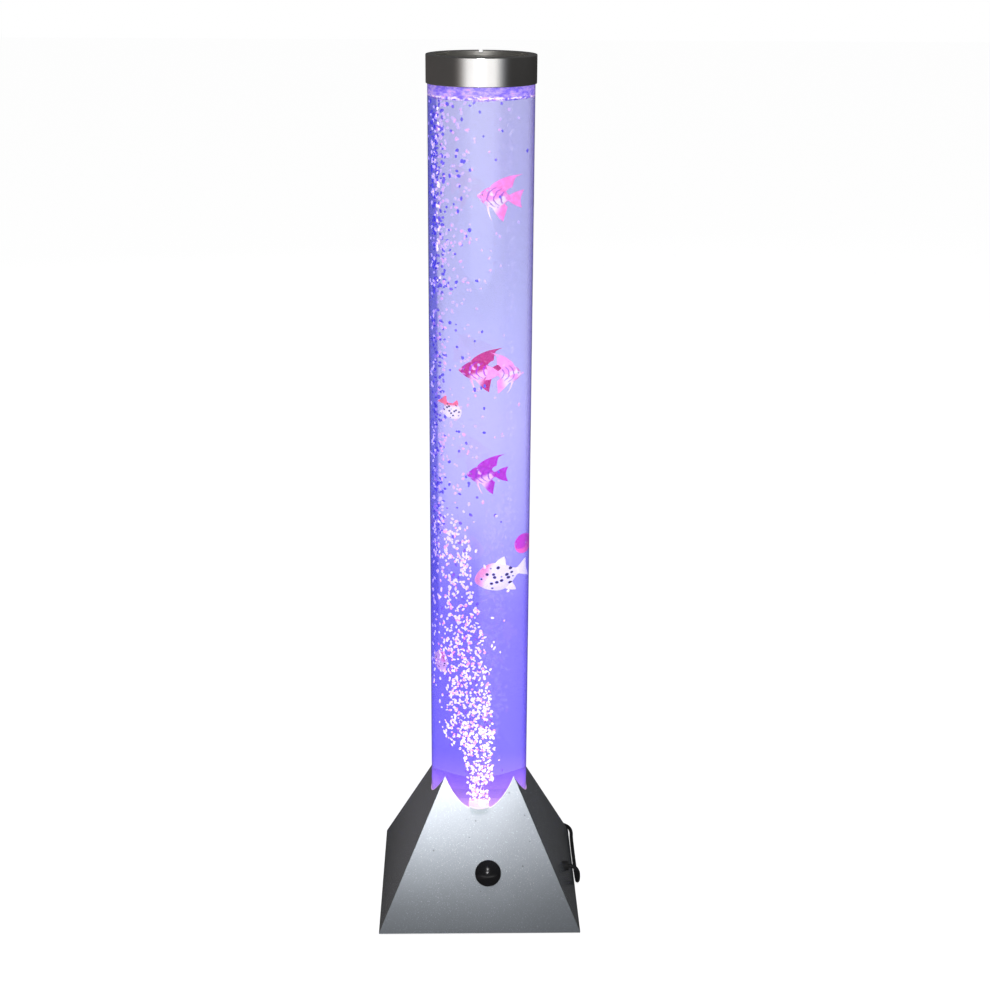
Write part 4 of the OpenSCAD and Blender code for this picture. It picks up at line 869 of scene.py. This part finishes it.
# Each fish: its kind, its paint's colours and spots, how tall and wide it is beside its kind, its place and its
# nose's dip, its heading and its length, in millimetres and degrees, and its slot
SHOAL = {
    "pink_angelfish_upper": (ANGEL, ((0.95, 0.23, 0.47), (0.95, 0.80, 0.70), (0.29, 0.06, 0.40)), 1, 1,
        (9, 0, 741), -6, 180, 23.5, "fish_pink"),
    "pink_angelfish_middle": (ANGEL, ((0.94, 0.32, 0.53), (0.98, 0.80, 0.72), (0.35, 0.08, 0.42)), 1, 1,
        (23, -10, 572), 4, 0, 21, "fish_pink"),
    "red_angelfish": (ANGEL, ((0.48, 0.0, 0.13), (0.98, 0.60, 0.70), (0.50, 0.0, 0.60)), 1, 1,
        (-3, 10, 572), 0, 180, 23, "fish_red"),
    "magenta_angelfish": (ANGEL, ((0.44, 0.0, 0.36), (0.96, 0.62, 0.68), (0.24, 0.0, 0.34)), 1, 1,
        (1, 0, 468), 0, 180, 21.5, "fish_magenta"),
    "spotted_puffer_large": (PUFFER, ((0.98, 0.96, 0.66), (0.87, 0.17, 0.24), (0.02, 0.01, 0.04), 7.5, 0.26, 1),
        1.4, 1, (13.92, -8, 362), 16, 180, 36, "fish_spotted"),
    "spotted_puffer_left": (PUFFER, ((0.80, 0.74, 0.66), (0.85, 0.0, 0.06), (0.02, 0.01, 0.04), 6.5, 0.30, -1),
        1.4, 1, (-23, -14, 536), 52, 0, 19, "fish_spotted"),
    "spotted_puffer_lower": (PUFFER, ((0.87, 0.62, 0.52), (0.66, 0.01, 0.10), (0.02, 0.01, 0.04), 6.5, 0.60, 1),
        2.1, 1.35, (-30.077, 0, 265), 0, -90, 18, "fish_spotted"),
    "purple_discus": (PUFFER, ((0.95, 0.11, 0.32), (0.52, 0.0, 0.36), (0.60, 0.02, 0.36), 5.0, 0.26, 1),
        2.1, 1.4, (29.273, 14, 389), 0, -90, 17, "fish_purple"),
}


def make_shoal():
    eyes = eye_finish("fish_eye", (0.01, 0.005, 0.03), (0.03, 0.02, 0.06), Roughness=0.08)
    # The ring's emission is a painted glow.
    ring = eye_finish("fish_eye_ring", (0.85, 0.80, 0.88), (0.95, 0.92, 0.98), Roughness=0.2,
                      Emission_Color=(1.0, 0.9, 1.0, 1.0), Emission_Strength=0.2)
    for node, ((stations, fins, eye_out, make), colours, tall, wide, *where, slot) in SHOAL.items():
        finish = make(node + "_paint", *colours, *where)
        make_fish(node, [finish, ring, eyes], stations, fins, eye_out, tall, wide, where)


make_shoal()


# ---- Bubbles and foam ----

def bubble_finish(name, low, low_blush, high, high_blush, edge, strength):
    """Bubbles lit by the lamps: a pair of colours by the nozzle, another further up, and one by the left wall."""
    f = Finish(name)
    x, z = f.along(0), f.along(2)
    blush = f.noise(300, 0.0).ramp(0.56, 0.66)
    # Painted light: the colours and the emission stand in for the lamps' light on clear bubbles; by the left wall they
    # take a third colour.
    colour = f.mix(z.ramp(0.26, 0.50), f.mix(blush, low, low_blush), f.mix(blush, high, high_blush))
    colour = f.mix((1 - x.ramp(-0.038, -0.034)) * z.ramp(0.28, 0.40), colour, edge)
    return f.paint(Base_Color=colour, Roughness=0.15, Emission_Color=colour, Emission_Strength=strength,
                   Specular_IOR_Level=0.3)


def foam_finish():
    """Wet froth: violet with pink and white glints, brightest along its lower edge."""
    f = Finish("foam")
    low = 1 - f.along(2).ramp(WATER_TOP + 0.0005, WATER_TOP + 0.004)
    blot = f.noise(130, 4.0, 0.65, stretch=(1.0, 1.0, 2.2))
    glint = f.noise(210, 3.0, 0.6, stretch=(1.0, 1.0, 3.0))
    # Painted light: the violet, the pink and white glints and the emission stand in for the lamps' light on the froth;
    # the glints are painted brighter along the lower edge.
    colour = f.mix(blot.ramp(0.38, 0.62), (0.20, 0.13, 0.78), (0.50, 0.36, 0.92))
    colour = f.mix((blot + low * 0.10).ramp(0.58, 0.74), colour, (0.85, 0.36, 0.80))
    colour = f.mix((glint + low * 0.17).ramp(0.63, 0.74), colour, (1.0, 0.84, 0.95))
    return f.paint(Base_Color=colour, Roughness=0.3, Emission_Color=colour, Emission_Strength=0.35,
                   Normal=f.bump(glint, 0.0006))


def swept_boxes():
    """The space that each fish passes through as it drifts, with room to spare."""
    drift = {joint["child"]: joint["range_m"] for joint in frame["record"]["behaviour"]["joints"]
             if joint["name"].endswith("_drift")}
    spare = Vector((0.0035, 0.0035, 0.0035))
    boxes = []
    for node in SHOAL:
        (low, high), (down, up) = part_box(node), drift[node + "_body"]
        boxes.append((low - spare + Vector((0, 0, down)), high + spare + Vector((0, 0, up))))
    return boxes


# The plume's left and right edge as seen from the front, in millimetres, by the share of the way up the water
PLUME = [(0.00, -8, 8), (0.03, -13, 13), (0.085, -17, 15), (0.11, -36, 15), (0.16, -44, 12), (0.27, -47.5, 4),
         (0.37, -48.5, -9), (1.00, -48.5, -10)]
UPPER = 0.42                    # above this share of the way up, the bubbles keep to the left wall and are fainter
# Parts of the water that the bubbles are in: the share of the bubbles up to its top, and its bottom and top
BANDS = [(0.14, 0.002, 0.10), (0.44, 0.10, 0.30), (0.56, 0.30, UPPER), (1.0, UPPER, 1.0)]
WALL_ROOM, CUP_ROOM, CUP_CLEAR = 0.0037, 0.0045, 0.011


def plume_edges(rise):
    for (a, left_a, right_a), (b, left_b, right_b) in zip(PLUME, PLUME[1:]):
        if rise <= b:
            u = (rise - a) / (b - a)
            return left_a + (left_b - left_a) * u, right_a + (right_b - right_a) * u
    return PLUME[-1][1:]


def bubble_places(count, seed):
    """Places, sizes and leans of the bubbles, painted bright and painted shaded: they rise from the nozzle to the
    tube's left side.
    """
    dice = random.Random(seed)
    boxes, bright, deep = swept_boxes(), [], []
    while len(bright) + len(deep) < count:
        pick = dice.random()
        low, high = next(band[1:] for band in BANDS if pick <= band[0])
        rise = dice.uniform(low, high)
        z = CUP_TOP + (WATER_TOP - 0.004 - CUP_TOP) * rise
        left, right = plume_edges(rise)
        kind = dice.random()
        if kind > (0.90 if rise > UPPER else 0.965):
            seen = dice.uniform(-46, 45) if dice.random() < 0.5 else dice.uniform(-8, 24)
        elif rise > UPPER and kind < 0.55:
            seen = dice.uniform(left, -34)
        else:
            seen = dice.uniform(left, right)
        seen /= 1000
        depth = dice.uniform(-1.0, 0.4)
        x = seen * (1 - (WATER_IOR - 1) * depth) / WATER_IOR
        y = depth * math.sqrt(max(0.0, (TUBE_IN - WALL_ROOM) ** 2 - x * x))
        around = x * x + y * y
        if around > (TUBE_IN - 0.0036) ** 2 or (rise < 0.1 and around > 0.021 ** 2):
            continue
        if z < CUP_TOP + CUP_ROOM and around < CUP_CLEAR ** 2:
            continue
        if any(all(a[k] < (x, y, z)[k] < b[k] for k in range(3)) for a, b in boxes):
            continue
        size = dice.uniform(0.00075, 0.00125) if rise < UPPER else dice.uniform(0.0008, 0.0014)
        tall = size * (dice.uniform(1.1, 2.5) if rise < UPPER else dice.uniform(0.9, 1.9))
        lean = dice.gauss(-0.35, 0.45) if 0.06 < rise < 0.3 else dice.gauss(0.0, 0.35)
        # The share of bubbles painted bright; the rest are painted shaded.
        shine = 0.90 if rise < UPPER else 0.54 if seen < -0.034 else 0.78
        one = ((x, y, z), (size, size, tall), (dice.gauss(0.0, 0.25), lean, dice.uniform(0, 3.1)))
        (bright if dice.random() < shine else deep).append(one)
    return bright, deep


def bubble_tree(material):
    """Small balls set on points, each with its own size and lean."""
    tree = bpy.data.node_groups.new("bubbles", "GeometryNodeTree")
    for name, way in (("Points", "INPUT"), ("Mesh", "OUTPUT")):
        tree.interface.new_socket(name, in_out=way, socket_type="NodeSocketGeometry")
    g = Nodes(tree)
    unit_ball = g.node("GeometryNodeMeshUVSphere", sockets={"Segments": 8, "Rings": 6, "Radius": 1.0})
    smooth = g.node("GeometryNodeSetShadeSmooth", sockets={"Geometry": unit_ball, "Shade Smooth": True})
    size, lean = (g.node("GeometryNodeInputNamedAttribute", {"data_type": "FLOAT_VECTOR"}, {"Name": name},
                         out="Attribute") for name in ("size", "lean"))
    turn = g.node("FunctionNodeEulerToRotation", sockets={"Euler": lean})
    spread = g.node("GeometryNodeInstanceOnPoints", sockets={
        "Points": g.node("NodeGroupInput", out="Points"), "Instance": smooth, "Rotation": turn, "Scale": size})
    real = g.node("GeometryNodeRealizeInstances", sockets={"Geometry": spread})
    painted = g.node("GeometryNodeSetMaterial", sockets={"Geometry": real, "Material": material})
    g.end("NodeGroupOutput", "Mesh", painted)
    return tree


def make_bubbles(name, places, material):
    points = piece(name, [place for place, size, lean in places], [], material, None, False)
    for key, index in (("size", 1), ("lean", 2)):
        store = points.data.attributes.new(key, "FLOAT_VECTOR", "POINT")
        store.data.foreach_set("vector", [c for place in places for c in place[index]])
    points.modifiers.new("bubbles", "NODES").node_group = bubble_tree(material)
    plain(points)
    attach(points, "lamp")


def make_foam():
    """The layer of froth between the water and the cap, uneven along its lower edge."""
    steps, rings = 240, 14
    dice = random.Random(5)
    waves = [(k, dice.uniform(0, math.tau), 0.0011 / k ** 0.5) for k in (3, 5, 8, 13, 21, 34)]
    points, faces = [], []
    for i in range(rings + 1):
        for k in range(steps):
            a = math.tau * k / steps
            low = WATER_TOP - 0.0012 + 0.5 * sum(h * math.sin(n * a + p) for n, p, h in waves)
            points.append((WET * math.cos(a), WET * math.sin(a), low + (FOAM_TOP - low) * i / rings))
    for i in range(rings):
        for k in range(steps):
            a, b = i * steps + k, i * steps + (k + 1) % steps
            faces.append((a, b, b + steps, a + steps))
    low, high = len(points), len(points) + 1
    points += [(0, 0, WATER_TOP - 0.001), (0, 0, FOAM_TOP)]
    for k in range(steps):
        n = (k + 1) % steps
        faces += [(low, n, k), (high, rings * steps + k, rings * steps + n)]
    foam = piece("foam", points, faces, foam_finish(), "lamp")
    crisp(foam, 50)


BRIGHT, SHADED = bubble_places(2100, 11)
# Lit and shaded copies of the bubbles' finish: painted bright and painted shaded.
make_bubbles("bubbles_bright", BRIGHT, bubble_finish(
    "bubble_bright", (0.94, 0.96, 1.0), (1.0, 0.38, 0.60), (0.40, 0.32, 0.50), (0.52, 0.28, 0.48), (1.3, 1.1, 0.9),
    2.0))
make_bubbles("bubbles_shaded", SHADED, bubble_finish(
    "bubble_shaded", (0.22, 0.12, 0.62), (0.40, 0.14, 0.60), (0.09, 0.07, 0.50), (0.16, 0.11, 0.55), (0.10, 0.08, 0.60),
    1.2))
make_foam()


# ---- Stage and light ----

def bright_to(f, way, level):
    """1 to the camera and through clear things, and by a level to metal that mirrors the front of the room."""
    x, y = f.along(0, way), f.along(1, way)
    across = x.maths("ABSOLUTE", x) / f.node("ShaderNodeMath", {"operation": "SQRT"}, {0: x * x + y * y + 0.0001})
    share = 1 - across.ramp(0.40, 0.96)
    mirrored = f.ray("Glossy") * (share * share * (y < 0.0)) * level
    seen = f.ray("Camera")
    seen = seen.maths("MAXIMUM", seen, f.ray("Transmission"))
    return seen.maths("MAXIMUM", seen, mirrored)


def make_stage():
    """A pale floor under a white room. The front of the room is bright to metal, its sides are dim."""
    f = Finish("pale_floor")
    seen = bright_to(f, f.place, 1 - f.along(1).ramp(-5.0, -3.0))
    dim = f.mix(f.along(0).ramp(-0.17, -0.07), (0.24, 0.215, 0.205), (0.10, 0.095, 0.09))
    matt = f.surface(Base_Color=f.mix(f.ray("Glossy"), (0.5, 0.5, 0.5), dim), Roughness=0.9)
    side = f.along(0) / f.node("ShaderNodeVectorMath", {"operation": "LENGTH"}, {0: f.place}, out=1)
    tint = f.mix(side.ramp(-0.85, -0.50), (1.20, 1.08, 1.02), (1.18, 1.18, 1.18))
    tint = f.mix(side.ramp(0.50, 0.85), tint, (1.00, 1.08, 1.25))
    tint = f.mix(f.ray("Glossy"), (1.0, 1.0, 1.0), tint)
    lit = f.surface(Base_Color=(0.5, 0.5, 0.5, 1.0), Roughness=0.9, Emission_Color=tint, Emission_Strength=0.86)
    material = f.done(f.node("ShaderNodeMixShader", sockets={0: seen, 1: matt, 2: lit}))
    r = 14.0
    floor = piece("floor", [(-r, -r, 0), (r, -r, 0), (r, r, 0), (-r, r, 0)], [(0, 1, 2, 3)], material, None, False)

    room = Finish("studio", world=True)
    bpy.context.scene.world = room.owner
    way = room.node("ShaderNodeTexCoord", out="Generated")
    seen = bright_to(room, way, 1 - room.along(2, way).ramp(0.02, 0.16))
    room.end("ShaderNodeOutputWorld", "Surface", room.node("ShaderNodeBackground", sockets={
        "Color": (1.0, 1.0, 1.0, 1.0), "Strength": 0.26 + 0.74 * seen - 0.20 * room.ray("Glossy") * (1 - seen)}))


def make_light(name, place, aim, size, watts):
    data = bpy.data.lights.new(name, "AREA")
    data.shape, data.size, data.size_y, data.energy = "RECTANGLE", size[0], size[1], watts
    light = placed(name, data)
    light.location = place
    light.rotation_euler = (Vector(aim) - Vector(place)).to_track_quat("-Z", "Y").to_euler()
    return light


make_stage()
make_light("front_light", (0.05, -2.5, 1.15), (0.0, 0.0, 0.55), (2.6, 2.2), 18.0).visible_glossy = False
make_light("near_light", (-0.09, -1.75, 0.91), (0.0, 0.0, 0.20), (0.20, 0.20), 3.0)
make_light("high_light", (-0.05, -1.75, 1.69), (0.0, 0.0, 0.05), (0.24, 0.44), 4.0)
spill_light = make_light("spill_light", (0.0, -0.088, 0.205), (0.0, -0.075, 0.10), (0.06, 0.03), 0.24)
spill_light.visible_camera = spill_light.visible_glossy = spill_light.visible_transmission = False
make_light("back_light", (-0.6, 2.6, 2.0), (0.0, 0.0, 0.5), (1.6, 1.2), 12.0).visible_glossy = False
